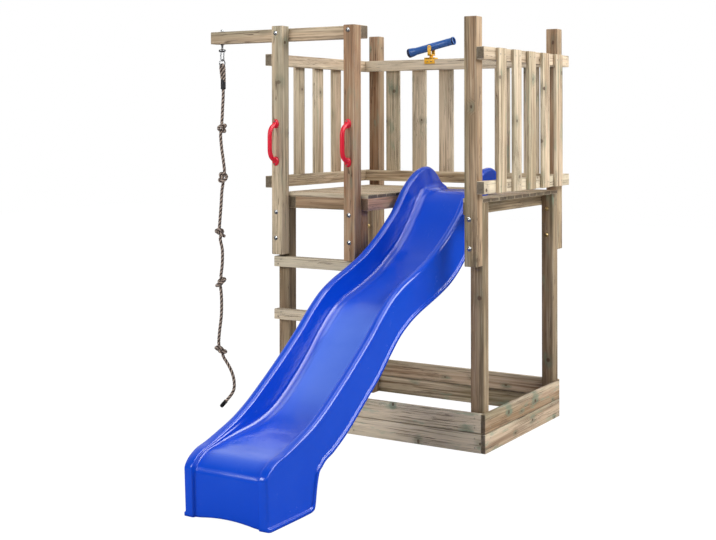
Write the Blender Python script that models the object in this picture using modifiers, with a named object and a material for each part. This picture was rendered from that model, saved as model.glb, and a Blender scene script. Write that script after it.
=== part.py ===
"""Wooden play tower with a wavy slide, a knotted climbing rope, a ladder, a sandbox and a toy telescope.

Metres, +Z up. X runs along the front from the ladder to the slide, Y from the slide's foot to the back.
Sizes are written from the front left corner of the legs, and one empty moves the whole tower so that
the origin lies on the ground under the middle of its box.
"""

import math

import bmesh
import bpy
import numpy as np
from mathutils import Matrix, Vector

# Clearance between two pieces that touch
SEAT = 0.0003

# The turns along the bend of a U-shaped wire or rope
HALF_TURN = [math.pi * step / 8 for step in range(9)]

# Frame timber
POST = 0.070
FRAME_DEPTH = 0.9876
MIDDLE_LEG_X = 0.4746
DECK_TOP = 1.297
DECK_THICKNESS = 0.020
DECK_BOARDS = 10
DECK_GROOVE_WIDTH = 0.005
DECK_GROOVE_DEPTH = 0.014
RECESS_BOARDS = 5
JOIST_THICKNESS = 0.043
JOIST_HEIGHT = 0.065
UPPER_POST_LAP = 0.323
UPPER_POST_RISE = 0.933
MIDDLE_POST_DROP = 0.012
EDGE_CHAMFER = 0.004
BOARD_CHAMFER = 0.003

# Ladder rungs, counted down from the one under the posts
RUNG_COUNT = 3
LOWEST_RUNG_TOP = 0.3514
RUNG_THICKNESS = 0.045
RUNG_HEIGHT = 0.058
RUNG_OVERHANG = 0.003

# Fences
RAIL_THICKNESS = 0.043
RAIL_HEIGHT = 0.065
LOWER_RAIL_GAP = 0.028
RAIL_SPACING = 0.684
SLAT_WIDTH = 0.095
SLAT_THICKNESS = 0.018
SLAT_COUNT_SIDE = 5
SLAT_COUNT_BACK = 6
LEFT_FENCE_GAPS = (0.0325, 0.060)
RIGHT_FENCE_GAPS = (0.068, 0.068)
BACK_FENCE_GAPS = (0.0535, 0.0485)

# Sandbox
SANDBOX_BOARD_HEIGHT = 0.0985
SANDBOX_BOARD_THICKNESS = 0.026
SANDBOX_SEAM = 0.004
SANDBOX_SIDE_LENGTH = 0.976

# Rope beam and the steel that the rope hangs on
BEAM_OVERHANG = 0.487
HANGER_FROM_BEAM_END = 0.059
HANGER_BOLT_RADIUS = 0.005
HANGER_BOLT_CLEARANCE = 0.0005
NUT_RADIUS = 0.0105
NUT_HEIGHT = 0.013
BOLT_ABOVE_NUT = 0.003
WASHER_RADIUS = 0.014
WASHER_THICKNESS = 0.003
PIN_DROP = 0.038
PIN_RADIUS = 0.004
PIN_HEAD_RADIUS = 0.0085
PIN_HEAD_THICKNESS = 0.006
LUG_THICKNESS = 0.012
LUG_RADIUS = 0.010
LUG_NECK_THICKNESS = 0.011
LUG_NECK_DEPTH = 0.014
LINK_WIRE_RADIUS = 0.004
LINK_EYE_RADIUS = 0.0085
LINK_EYE_THICKNESS = 0.008
LINK_BORE_CLEARANCE = 0.0005
LINK_WIRE_INTO_EYE = 0.006
LINK_DROP = 0.059
RING_RADIUS = 0.0215
RING_WIRE_RADIUS = 0.0035
RING_CLEARANCE = 0.0006
RING_TURN = math.radians(8)
RING_SIDES = 8
RING_STEPS = 28

# Climbing rope: its route as (distance to the right of the hanger, drop below the sleeve), chosen by hand
ROPE_RADIUS = 0.0085
ROPE_EYE_DROP = 0.0846
ROPE_EYE_CLEARANCE = 0.0007
SLEEVE_RADIUS = 0.0155
SLEEVE_LENGTH = 0.056
SLEEVE_WALL = 0.001
SLEEVE_SHIFT = 0.0065
EYE_LEG_PLACE = 0.54
EYE_LEG_PRESSED = 0.50
# The eye's legs above the sleeve, as (share of the bend's radius, rise above the sleeve, share of the rope)
EYE_SHAPE = [(0.80, 0.022, 0.92), (0.95, 0.048, 1.0), (1.0, 0.068, 1.0)]
KNOT_RADIUS = 0.027
KNOT_LENGTH = 0.060
ROPE_ROUTE = [
    (0.0065, 0.000),
    (0.0065, 0.030),
    (0.002, 0.097),
    (-0.005, 0.193),
    (-0.011, 0.226),
    (-0.014, 0.259),
    (-0.009, 0.321),
    (0.009, 0.433),
    (0.015, 0.475),
    (0.017, 0.515),
    (0.003, 0.555),
    (-0.011, 0.677),
    (-0.022, 0.791),
    (-0.027, 0.839),
    (-0.018, 0.878),
    (-0.001, 0.945),
    (-0.003, 1.025),
    (-0.014, 1.093),
    (-0.019, 1.129),
    (-0.013, 1.171),
    (-0.008, 1.249),
    (-0.011, 1.332),
    (-0.024, 1.417),
    (-0.030, 1.484),
    (-0.021, 1.524),
    (-0.006, 1.550),
    (0.050, 1.618),
    (0.082, 1.692),
    (0.084, 1.734),
    (0.055, 1.786),
    (0.019, 1.823),
]
ROPE_SAMPLES = 44
KNOT_DROPS = [0.226, 0.515, 0.839, 1.129, 1.524]
# Places of a knot's points along it, as shares of its length, and the half length that it keeps to itself
KNOT_PLACES = (-0.52, -0.49, -0.42, -0.25, 0, 0.25, 0.42, 0.49, 0.52)
KNOT_ROOM = 0.65
END_CAP_RADIUS = 0.0105
END_CAP_LENGTH = 0.046

# Handles on the two ladder posts
HANDLE_SPACING = 0.209
HANDLE_STAND_OFF = 0.060
HANDLE_GRIP_RADIUS = 0.0125
HANDLE_GRIP_HALF = 0.060
HANDLE_ARM = [(0.010, 0.003), (0.028, 0.012), (0.046, 0.024), (0.056, 0.035)]
HANDLE_PAD = (0.0210, 0.017, 0.0265)
HANDLE_ABOVE_DECK = 0.2815
HANDLE_FROM_POST_EDGE = 0.030

# Telescope on the back rail
TELESCOPE_X = 0.457
TELESCOPE_PIVOT_RISE = 0.075
TELESCOPE_TILT = math.radians(12.3)
TELESCOPE_HALF_LENGTH = 0.161
TELESCOPE_BODY_RADIUS = 0.0225
TELESCOPE_BELL_RADIUS = 0.0280
TELESCOPE_RIM_RADIUS = 0.0245
TELESCOPE_PIVOT_GAP = 0.0010
TELESCOPE_WALL = 0.004
TELESCOPE_BLOCK_HALF = 0.012
TELESCOPE_RIM_LENGTH = 0.012
TELESCOPE_SHOULDER = 0.004
TELESCOPE_BELL_LENGTH = 0.055
TELESCOPE_STEPS = 24
# The bell's flare, as (share of the way from the tube's radius to the bell's, share of the bell's length)
TELESCOPE_FLARE = [(0.25, 0.20), (0.65, 0.50), (1.0, 0.65)]
SADDLE_WIDTH = 0.070
SADDLE_PLATE = 0.010
SADDLE_SKIRT = 0.028
SADDLE_SKIRT_THICKNESS = 0.006
FORK_PEG_RADIUS = 0.011
FORK_PEG_HEIGHT = 0.012
FORK_DISC_RADIUS = 0.022
FORK_DISC_THICKNESS = 0.007
FORK_ARM_WIDTH = 0.024
FORK_ARM_THICKNESS = 0.005
FORK_ARM_TOP = 0.012

# Slide: half widths of its hollow section, and its lines in (Y, Z) for the deck height it was drawn at
SLIDE_GAP_TO_MIDDLE_POST = 0.0685
SLIDE_GAP_TO_RIGHT_POST = 0.1299
SLIDE_HALF_WIDTH = 0.2205
SLIDE_BAND = 0.0085
SLIDE_BAND_HEIGHT = 0.014
SLIDE_BAND_STEP = 0.006
SLIDE_WALL = 0.005
SLIDE_RIM_WIDTH = 0.046
SLIDE_RIM_RADIUS = 0.018
SLIDE_FLOOR_HALF = 0.120
SLIDE_FLOOR_FILLET = 0.032
SLIDE_FILLET_MIDDLE = (0.64, 0.18)
SLIDE_WALL_LEAN = 0.12
SLIDE_ARC = [math.radians(turn) for turn in (0, 45, 90)]
SLIDE_DRAWN_DECK = 1.297
SLIDE_DRAWN_RECESS = 0.494
SLIDE_LIP_END = 0.690
SLIDE_WING_END = 0.760
SLIDE_FRONT = -1.600
SLIDE_APRON_SETBACK = 0.018
SLIDE_APRON_ARCH = 0.010
SLIDE_FOOT_RAKE = 0.010
SLIDE_RAKE_REACH = 0.150
SLIDE_APRON_HALF = 0.140
SLIDE_APRON_BLEND = 0.030
# Largest shares that the section's parts may take of the side's height (the first three) or of the depth
SLIDE_BAND_SHARE = 0.30
SLIDE_STEP_SHARE = 0.12
SLIDE_RADIUS_SHARE = 0.30
SLIDE_RADIUS_OF_DEPTH = 0.42
SLIDE_FILLET_OF_DEPTH = 0.50
SLIDE_RIM_LINE = [
    (-1.600, 0.216),
    (-1.575, 0.243),
    (-1.530, 0.270),
    (-1.450, 0.293),
    (-1.350, 0.328),
    (-1.250, 0.366),
    (-1.150, 0.417),
    (-1.050, 0.479),
    (-0.900, 0.579),
    (-0.750, 0.688),
    (-0.650, 0.770),
    (-0.550, 0.841),
    (-0.450, 0.889),
    (-0.300, 0.941),
    (-0.150, 0.998),
    (-0.050, 1.049),
    (0.040, 1.102),
    (0.120, 1.158),
    (0.190, 1.212),
    (0.240, 1.264),
    (0.290, 1.316),
    (0.335, 1.352),
    (0.420, 1.403),
    (0.500, 1.430),
    (0.550, 1.436),
    (0.600, 1.424),
    (0.647, 1.397),
    (0.704, 1.345),
    (0.760, 1.315),
]
SLIDE_FLOOR_LINE = [
    (-1.600, 0.205),
    (-1.565, 0.232),
    (-1.530, 0.252),
    (-1.420, 0.275),
    (-1.300, 0.290),
    (-1.150, 0.308),
    (-1.025, 0.350),
    (-0.900, 0.425),
    (-0.750, 0.540),
    (-0.620, 0.655),
    (-0.540, 0.715),
    (-0.431, 0.775),
    (-0.300, 0.815),
    (-0.150, 0.865),
    (-0.050, 0.908),
    (0.032, 0.955),
    (0.118, 1.005),
    (0.190, 1.060),
    (0.260, 1.125),
    (0.330, 1.200),
    (0.390, 1.258),
    (0.440, 1.290),
    (0.485, 1.3025),
    (0.600, 1.3025),
    (0.760, 1.3025),
]
SLIDE_LOWER_LINE = [
    (-1.600, 0.000),
    (-1.400, 0.000),
    (-1.300, 0.001),
    (-1.262, 0.006),
    (-1.246, 0.030),
    (-1.236, 0.090),
    (-1.222, 0.145),
    (-1.190, 0.182),
    (-1.100, 0.224),
    (-1.000, 0.276),
    (-0.900, 0.342),
    (-0.800, 0.412),
    (-0.700, 0.482),
    (-0.600, 0.568),
    (-0.500, 0.648),
    (-0.400, 0.702),
    (-0.300, 0.740),
    (-0.200, 0.770),
    (-0.064, 0.812),
    (0.040, 0.853),
    (0.120, 0.898),
    (0.200, 0.956),
    (0.300, 1.045),
    (0.400, 1.150),
    (0.455, 1.225),
    (0.484, 1.2976),
    (0.520, 1.2976),
    (0.760, 1.2976),
]
SLIDE_STATIONS = [
    -1.600, -1.575, -1.530, -1.450, -1.350, -1.275, -1.248, -1.236, -1.215, -1.150,
    -1.050, -0.950, -0.850, -0.750, -0.650, -0.550, -0.450, -0.300, -0.150, -0.050,
    0.050, 0.130, 0.200, 0.260, 0.320, 0.380, 0.430, 0.465, 0.486, 0.540, 0.600, 0.660, 0.710, 0.760,
]

# The frame is as wide as the ladder's bay, the slide's bay and the posts beside them
MIDDLE_RIGHT_X = MIDDLE_LEG_X + POST
SLIDE_X = MIDDLE_RIGHT_X + SLIDE_GAP_TO_MIDDLE_POST + SLIDE_BAND + SLIDE_HALF_WIDTH
RIGHT_LEG_X = SLIDE_X + SLIDE_HALF_WIDTH + SLIDE_BAND + SLIDE_GAP_TO_RIGHT_POST
FRAME_WIDTH = RIGHT_LEG_X + POST

# Places that follow from the sizes above
DECK_BOTTOM = DECK_TOP - DECK_THICKNESS
LEG_TOP = DECK_BOTTOM - SEAT
JOIST_TOP = DECK_BOTTOM - SEAT
POST_BOTTOM = LEG_TOP - UPPER_POST_LAP
POST_TOP = DECK_TOP + UPPER_POST_RISE
HIGHEST_RUNG_TOP = POST_BOTTOM - MIDDLE_POST_DROP - SEAT
RUNG_PITCH = (HIGHEST_RUNG_TOP - LOWEST_RUNG_TOP) / (RUNG_COUNT - 1)
BEAM_TOP = POST_TOP - MIDDLE_POST_DROP
BEAM_BOTTOM = BEAM_TOP - POST
LOWER_RAIL = DECK_TOP + LOWER_RAIL_GAP
UPPER_RAIL = LOWER_RAIL + RAIL_SPACING
RAIL_TOP = UPPER_RAIL + RAIL_HEIGHT
BACK_LEG_Y = FRAME_DEPTH - POST
BACK_FACE = FRAME_DEPTH + SEAT + POST
FRONT_FACE = -SEAT - POST
RECESS_DEPTH = FRAME_DEPTH * RECESS_BOARDS / DECK_BOARDS

# Slide and hanger places
SLIDE_Y_SHIFT = RECESS_DEPTH - SLIDE_DRAWN_RECESS
HANGER_X = HANGER_FROM_BEAM_END - BEAM_OVERHANG
HANGER_Y = SEAT + POST / 2
PIN_Z = BEAM_BOTTOM - PIN_DROP
LINK_BAR_Z = PIN_Z - LINK_DROP
RING_TOP_Z = LINK_BAR_Z + LINK_WIRE_RADIUS + RING_WIRE_RADIUS + RING_CLEARANCE
RING_BOTTOM_Z = RING_TOP_Z - 2 * RING_RADIUS
SLEEVE_TOP = RING_BOTTOM_Z - ROPE_EYE_DROP + ROPE_RADIUS
ROPE_TOP = SLEEVE_TOP - SLEEVE_LENGTH - SEAT

# The tower's box without the rope, which the origin is centred under
LOWEST_X = -BEAM_OVERHANG
HIGHEST_X = FRAME_WIDTH + RAIL_THICKNESS + SLAT_THICKNESS + 2 * SEAT
LOWEST_Y = SLIDE_FRONT + SLIDE_Y_SHIFT
HIGHEST_Y = BACK_FACE
ORIGIN = Vector((-(LOWEST_X + HIGHEST_X) / 2, -(LOWEST_Y + HIGHEST_Y) / 2, 0))


def clear_scene():
    for obj in list(bpy.data.objects):
        bpy.data.objects.remove(obj, do_unlink=True)


def new_collection(name):
    collection = bpy.data.collections.new(name)
    bpy.context.scene.collection.children.link(collection)
    return collection


clear_scene()
PARTS = new_collection("play_tower")
CUTTERS = new_collection("cutters")
TOWER = bpy.data.objects.new("tower_corner", None)
TOWER.location = ORIGIN
PARTS.objects.link(TOWER)


def material(name, colour, roughness, metallic=0.0):
    made = bpy.data.materials.new(name)
    made.use_nodes = True
    shader = made.node_tree.nodes["Principled BSDF"]
    shader.inputs["Base Color"].default_value = (*colour, 1)
    shader.inputs["Roughness"].default_value = roughness
    shader.inputs["Metallic"].default_value = metallic
    return made


def put(name, data, parent=None, location=(0, 0, 0), rotation=(0, 0, 0), looks=None):
    """Adds one object to the tower; its location is measured from its parent."""
    obj = bpy.data.objects.new(name, data)
    PARTS.objects.link(obj)
    obj.parent = parent or TOWER
    obj.location = location
    obj.rotation_euler = rotation
    if looks:
        data.materials.append(looks)
    return obj


def mesh_from(name, build):
    """A mesh filled by build(bm)."""
    mesh = bpy.data.meshes.new(name)
    bm = bmesh.new()
    build(bm)
    bm.to_mesh(mesh)
    bm.free()
    return mesh


def block_mesh(name, size):
    def build(bm):
        bmesh.ops.create_cube(bm, size=1)
        bmesh.ops.scale(bm, vec=size, verts=bm.verts)

    return mesh_from(name, build)


def timber(name, x, y, z, looks, chamfer=EDGE_CHAMFER):
    """A straight piece of timber between two values on each axis."""
    spans = (x, y, z)
    size = [high - low for low, high in spans]
    centre = [(low + high) / 2 for low, high in spans]
    obj = put(name, block_mesh(name, size), location=centre, looks=looks)
    bevel = obj.modifiers.new("arris", "BEVEL")
    bevel.width = chamfer
    bevel.segments = 1
    return obj


def cylinder_between(bm, start, end, radius, sides=16, top_radius=None):
    """A capped cylinder or cone from start to end, added to bm."""
    start, end = Vector(start), Vector(end)
    along = end - start
    turn = Vector((0, 0, 1)).rotation_difference(along.normalized()).to_matrix().to_4x4()
    place = Matrix.Translation((start + end) / 2) @ turn
    bmesh.ops.create_cone(
        bm,
        cap_ends=True,
        segments=sides,
        radius1=radius,
        radius2=radius if top_radius is None else top_radius,
        depth=along.length,
        matrix=place,
    )


def helper(name, data, parent=None, location=(0, 0, 0), rotation=(0, 0, 0)):
    """An object that shapes others and isn't a piece."""
    obj = bpy.data.objects.new(name, data)
    CUTTERS.objects.link(obj)
    obj.parent = parent or TOWER
    obj.location = location
    obj.rotation_euler = rotation
    obj.hide_render = True
    obj.display_type = "WIRE"
    return obj


def boolean(obj, other, operation):
    modifier = obj.modifiers.new(operation.lower(), "BOOLEAN")
    modifier.operation = operation
    modifier.object = other
    modifier.solver = "EXACT"
    return modifier


def smooth(obj, angle=40):
    obj.data.shade_smooth()
    obj.data.set_sharp_from_angle(angle=math.radians(angle))


def smooth_line(points):
    """A function that reads a smooth curve through (place, value) points, in order of place."""
    places, values = np.array(points, float).T
    steps = np.diff(places)
    rises = np.diff(values) / steps
    slopes = np.empty(len(places))
    slopes[0], slopes[-1] = rises[0], rises[-1]
    slopes[1:-1] = (rises[:-1] * steps[1:] + rises[1:] * steps[:-1]) / (steps[:-1] + steps[1:])
    # A flat stretch stays flat, and no hump is added where the values run one way
    for i in range(1, len(places) - 1):
        if rises[i - 1] * rises[i] <= 0:
            slopes[i] = 0
        else:
            limit = 3 * min(abs(rises[i - 1]), abs(rises[i]))
            slopes[i] = math.copysign(min(abs(slopes[i]), limit), slopes[i])

    def read(place):
        i = int(np.clip(np.searchsorted(places, place) - 1, 0, len(steps) - 1))
        t = (place - places[i]) / steps[i]
        start = (1 + 2 * t) * (1 - t) ** 2 * values[i] + t * (1 - t) ** 2 * steps[i] * slopes[i]
        end = t * t * (3 - 2 * t) * values[i + 1] + t * t * (t - 1) * steps[i] * slopes[i + 1]
        return float(start + end)

    return read


def tube(name, points, radius, parent=None, location=(0, 0, 0), looks=None, resolution=2, radii=None):
    """A tube with filled caps along the points."""
    curve = bpy.data.curves.new(name, "CURVE")
    curve.dimensions = "3D"
    curve.bevel_depth = radius
    curve.bevel_resolution = resolution
    curve.use_fill_caps = True
    spline = curve.splines.new("POLY")
    spline.points.add(len(points) - 1)
    for place, point in enumerate(points):
        spline.points[place].co = (*point, 1)
        spline.points[place].radius = radii[place] if radii else 1
    return put(name, curve, parent, location, looks=looks)


def tube_mesh(name, points, radius, resolution=2, radii=None):
    """The same tube as a closed mesh, for Booleans."""
    obj = tube(name, points, radius, resolution=resolution, radii=radii)
    bpy.context.view_layer.update()
    evaluated = obj.evaluated_get(bpy.context.evaluated_depsgraph_get())
    mesh = bpy.data.meshes.new_from_object(evaluated)
    curve = obj.data
    bpy.data.objects.remove(obj, do_unlink=True)
    bpy.data.curves.remove(curve)
    bm = bmesh.new()
    bm.from_mesh(mesh)
    bmesh.ops.remove_doubles(bm, verts=bm.verts, dist=1e-5)
    bmesh.ops.recalc_face_normals(bm, faces=bm.faces)
    bm.to_mesh(mesh)
    bm.free()
    mesh.name = name
    return mesh


WOOD = material("pressure_treated_pine", (0.46, 0.38, 0.27), 0.75)
SLAT_WOOD = material("planed_pine", (0.55, 0.47, 0.35), 0.72)
DECK_WOOD = material("deck_pine", (0.50, 0.42, 0.31), 0.75)
BOARD_WOOD = material("sandbox_pine", (0.47, 0.40, 0.30), 0.78)
BLUE_PLASTIC = material("blue_slide_plastic", (0.012, 0.06, 0.66), 0.22)
RED_PLASTIC = material("red_handle_plastic", (0.72, 0.02, 0.045), 0.35)
NAVY_PLASTIC = material("navy_telescope_plastic", (0.015, 0.06, 0.22), 0.30)
YELLOW_PLASTIC = material("yellow_telescope_plastic", (0.90, 0.52, 0.05), 0.40)
STEEL = material("galvanised_steel", (0.62, 0.64, 0.65), 0.35, 1.0)
ROPE_FIBRE = material("brown_rope", (0.22, 0.15, 0.11), 0.90)
BLACK_PLASTIC = material("black_sleeve_plastic", (0.02, 0.02, 0.022), 0.55)


def make_legs():
    front = (0, POST)
    back = (BACK_LEG_Y, FRAME_DEPTH)
    rise = (0, LEG_TOP)
    timber("leg_front_left", (0, POST), front, rise, WOOD)
    timber("leg_front_middle", (MIDDLE_LEG_X, MIDDLE_RIGHT_X), front, rise, WOOD)
    timber("leg_front_right", (RIGHT_LEG_X, FRAME_WIDTH), front, rise, WOOD)
    timber("leg_back_left", (0, POST), back, rise, WOOD)
    timber("leg_back_right", (RIGHT_LEG_X, FRAME_WIDTH), back, rise, WOOD)


def make_upper_posts():
    front = (FRONT_FACE, -SEAT)
    back = (FRAME_DEPTH + SEAT, BACK_FACE)
    rise = (POST_BOTTOM, POST_TOP)
    dropped = (POST_BOTTOM - MIDDLE_POST_DROP, POST_TOP - MIDDLE_POST_DROP)
    timber("post_front_left", (0, POST), front, rise, WOOD)
    timber("post_front_middle", (MIDDLE_LEG_X, MIDDLE_RIGHT_X), front, dropped, WOOD)
    timber("post_front_right", (RIGHT_LEG_X, FRAME_WIDTH), front, rise, WOOD)
    timber("post_back_left", (0, POST), back, rise, WOOD)
    timber("post_back_right", (RIGHT_LEG_X, FRAME_WIDTH), back, rise, WOOD)


def make_joists():
    rise = (JOIST_TOP - JOIST_HEIGHT, JOIST_TOP)
    length = (0, FRAME_DEPTH)
    left = POST + SEAT
    middle = MIDDLE_RIGHT_X + SEAT
    right = RIGHT_LEG_X - SEAT
    timber("joist_left", (left, left + JOIST_THICKNESS), length, rise, WOOD, BOARD_CHAMFER)
    timber("joist_middle", (middle, middle + JOIST_THICKNESS), length, rise, WOOD, BOARD_CHAMFER)
    timber("joist_right", (right - JOIST_THICKNESS, right), length, rise, WOOD, BOARD_CHAMFER)


def make_deck():
    """Ten boards along X, shown by grooves, with the slide's bay cut out of the front five."""
    size = (FRAME_WIDTH, FRAME_DEPTH, DECK_THICKNESS)
    centre = (FRAME_WIDTH / 2, FRAME_DEPTH / 2, DECK_BOTTOM + DECK_THICKNESS / 2)
    deck = put("deck", block_mesh("deck", size), location=centre, looks=DECK_WOOD)
    pitch = FRAME_DEPTH / DECK_BOARDS

    def grooves(bm):
        for line in range(1, DECK_BOARDS):
            made = bmesh.ops.create_cube(bm, size=1)["verts"]
            bmesh.ops.scale(bm, vec=(FRAME_WIDTH * 1.1, DECK_GROOVE_WIDTH, 2 * DECK_GROOVE_DEPTH), verts=made)
            place = (FRAME_WIDTH / 2, line * pitch, DECK_TOP)
            bmesh.ops.translate(bm, vec=place, verts=made)

    def bay(bm):
        left = MIDDLE_RIGHT_X + SEAT + JOIST_THICKNESS
        right = RIGHT_LEG_X - SEAT - JOIST_THICKNESS
        front = -POST
        bmesh.ops.create_cube(bm, size=1)
        bmesh.ops.scale(bm, vec=(right - left, RECESS_DEPTH - front, 3 * DECK_THICKNESS), verts=bm.verts)
        place = ((left + right) / 2, (RECESS_DEPTH + front) / 2, DECK_TOP)
        bmesh.ops.translate(bm, vec=place, verts=bm.verts)

    boolean(deck, helper("deck_bay_cut", mesh_from("deck_bay_cut", bay)), "DIFFERENCE")
    boolean(deck, helper("deck_groove_cuts", mesh_from("deck_groove_cuts", grooves)), "DIFFERENCE")


def make_rungs():
    depth = (-SEAT - RUNG_THICKNESS, -SEAT)
    for count in range(RUNG_COUNT):
        high = HIGHEST_RUNG_TOP - count * RUNG_PITCH
        timber(f"rung_{count + 1}", (-RUNG_OVERHANG, MIDDLE_RIGHT_X), depth, (high - RUNG_HEIGHT, high), WOOD)


def make_sandbox():
    """Two boards on each side: front and back ones between the side ones, all fixed to the legs."""
    thick = SANDBOX_BOARD_THICKNESS
    front = -SEAT - thick
    back = FRAME_DEPTH + SEAT
    right = FRAME_WIDTH + SEAT
    length = (front, front + SANDBOX_SIDE_LENGTH)
    sides = {
        "front": ((0, FRAME_WIDTH), (front, -SEAT)),
        "back": ((0, FRAME_WIDTH), (back, back + thick)),
        "left": ((-SEAT - thick, -SEAT), length),
        "right": ((right, right + thick), length),
    }
    for side, (x, y) in sides.items():
        for row, level in enumerate(("lower", "upper")):
            low = row * (SANDBOX_BOARD_HEIGHT + SANDBOX_SEAM)
            rise = (low, low + SANDBOX_BOARD_HEIGHT)
            timber(f"sandbox_{side}_{level}", x, y, rise, BOARD_WOOD, BOARD_CHAMFER)


def slat_centres(start, end, gaps, count):
    first = start + gaps[0] + SLAT_WIDTH / 2
    last = end - gaps[1] - SLAT_WIDTH / 2
    return np.linspace(first, last, count)


def make_fences():
    levels = {"lower": LOWER_RAIL, "upper": UPPER_RAIL}
    left_rail = (-SEAT - RAIL_THICKNESS, -SEAT)
    right_rail = (FRAME_WIDTH + SEAT, FRAME_WIDTH + SEAT + RAIL_THICKNESS)
    back_rail = (FRAME_DEPTH - RAIL_THICKNESS, FRAME_DEPTH)
    for level, low in levels.items():
        rise = (low, low + RAIL_HEIGHT)
        timber(f"rail_left_{level}", left_rail, (FRONT_FACE, BACK_FACE), rise, SLAT_WOOD, BOARD_CHAMFER)
        timber(f"rail_right_{level}", right_rail, (FRONT_FACE, BACK_FACE), rise, SLAT_WOOD, BOARD_CHAMFER)
        timber(f"rail_back_{level}", (0, FRAME_WIDTH), back_rail, rise, SLAT_WOOD, BOARD_CHAMFER)
    rise = (LOWER_RAIL + SEAT, RAIL_TOP - SEAT)
    half = SLAT_WIDTH / 2
    outer = left_rail[0] - SEAT
    for count, y in enumerate(slat_centres(0, FRAME_DEPTH, LEFT_FENCE_GAPS, SLAT_COUNT_SIDE)):
        thick = (outer - SLAT_THICKNESS, outer)
        timber(f"slat_left_{count + 1}", thick, (y - half, y + half), rise, SLAT_WOOD, BOARD_CHAMFER)
    outer = right_rail[1] + SEAT
    for count, y in enumerate(slat_centres(0, FRAME_DEPTH, RIGHT_FENCE_GAPS, SLAT_COUNT_SIDE)):
        thick = (outer, outer + SLAT_THICKNESS - SEAT)
        timber(f"slat_right_{count + 1}", thick, (y - half, y + half), rise, SLAT_WOOD, BOARD_CHAMFER)
    outer = back_rail[1] + SEAT
    for count, x in enumerate(slat_centres(POST, RIGHT_LEG_X, BACK_FENCE_GAPS, SLAT_COUNT_BACK)):
        thick = (outer, outer + SLAT_THICKNESS)
        timber(f"slat_back_{count + 1}", (x - half, x + half), thick, rise, SLAT_WOOD, BOARD_CHAMFER)


def make_rope_beam():
    length = (-BEAM_OVERHANG, MIDDLE_RIGHT_X)
    beam = timber("rope_beam", length, (SEAT, SEAT + POST), (BEAM_BOTTOM, BEAM_TOP), WOOD)

    def hole(bm):
        radius = HANGER_BOLT_RADIUS + HANGER_BOLT_CLEARANCE
        start = (HANGER_X, HANGER_Y, BEAM_BOTTOM - POST / 2)
        cylinder_between(bm, start, (HANGER_X, HANGER_Y, BEAM_TOP + POST / 2), radius)

    boolean(beam, helper("beam_bolt_hole", mesh_from("beam_bolt_hole", hole)), "DIFFERENCE")


def make_hanger():
    """A bolt through the beam with a lug below it, and a cross pin through the lug for the link."""
    at = (HANGER_X, HANGER_Y, PIN_Z)
    beam_low = BEAM_BOTTOM - PIN_Z
    beam_high = BEAM_TOP - PIN_Z
    pin_half = LUG_THICKNESS / 2 + LINK_EYE_THICKNESS + 2 * LINK_BORE_CLEARANCE

    def bolt(bm):
        high = beam_high + SEAT + NUT_HEIGHT + BOLT_ABOVE_NUT
        cylinder_between(bm, (0, 0, 0), (0, 0, high), HANGER_BOLT_RADIUS)

    def nut(bm):
        low = beam_high + SEAT
        cylinder_between(bm, (0, 0, low), (0, 0, low + NUT_HEIGHT), NUT_RADIUS, 6)

    def washer(bm):
        low = beam_low - SEAT
        cylinder_between(bm, (0, 0, low - WASHER_THICKNESS), (0, 0, low), WASHER_RADIUS)

    def lug(bm):
        half = LUG_THICKNESS / 2
        cylinder_between(bm, (-half, 0, 0), (half, 0, 0), LUG_RADIUS, 20)

    def neck(bm):
        high = beam_low - WASHER_THICKNESS
        bmesh.ops.create_cube(bm, size=1)
        bmesh.ops.scale(bm, vec=(LUG_NECK_THICKNESS, LUG_NECK_DEPTH, high), verts=bm.verts)
        bmesh.ops.translate(bm, vec=(0, 0, high / 2), verts=bm.verts)

    def pin(bm):
        cylinder_between(bm, (-pin_half, 0, 0), (pin_half, 0, 0), PIN_RADIUS)

    def heads(bm):
        for side in (-1, 1):
            inner = side * (pin_half - LINK_BORE_CLEARANCE / 2)
            outer = side * (pin_half + PIN_HEAD_THICKNESS)
            cylinder_between(bm, (inner, 0, 0), (outer, 0, 0), PIN_HEAD_RADIUS, 6)

    hanger = put("rope_hanger", mesh_from("rope_hanger", bolt), location=at, looks=STEEL)
    for build in (nut, washer, lug, neck, pin, heads):
        name = f"hanger_{build.__name__}"
        boolean(hanger, helper(name, mesh_from(name, build), location=at), "UNION")


def make_link(axis):
    """A U-shaped link that swings on the hanger's pin, between the lug and the pin's heads."""
    eye_x = LUG_THICKNESS / 2 + LINK_BORE_CLEARANCE + LINK_EYE_THICKNESS / 2
    bend = eye_x
    centre_z = -LINK_DROP + bend
    points = [(-eye_x, 0, -LINK_WIRE_INTO_EYE)]
    for turn in HALF_TURN:
        points.append((-bend * math.cos(turn), 0, centre_z - bend * math.sin(turn)))
    points.append((eye_x, 0, -LINK_WIRE_INTO_EYE))
    link = put("rope_link", tube_mesh("rope_link", points, LINK_WIRE_RADIUS), axis, looks=STEEL)

    def eyes(bm):
        for side in (-1, 1):
            start = side * (eye_x - LINK_EYE_THICKNESS / 2)
            end = side * (eye_x + LINK_EYE_THICKNESS / 2)
            cylinder_between(bm, (start, 0, 0), (end, 0, 0), LINK_EYE_RADIUS, 20)

    def lug_room(bm):
        half = LUG_THICKNESS / 2 + LINK_BORE_CLEARANCE
        cylinder_between(bm, (-half, 0, 0), (half, 0, 0), LUG_RADIUS + 4 * LINK_BORE_CLEARANCE, 20)

    def bore(bm):
        reach = 2 * eye_x
        cylinder_between(bm, (-reach, 0, 0), (reach, 0, 0), PIN_RADIUS + LINK_BORE_CLEARANCE, 20)

    boolean(link, helper("link_eyes", mesh_from("link_eyes", eyes), axis), "UNION")
    boolean(link, helper("link_lug_room", mesh_from("link_lug_room", lug_room), axis), "DIFFERENCE")
    boolean(link, helper("link_bore", mesh_from("link_bore", bore), axis), "DIFFERENCE")


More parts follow.
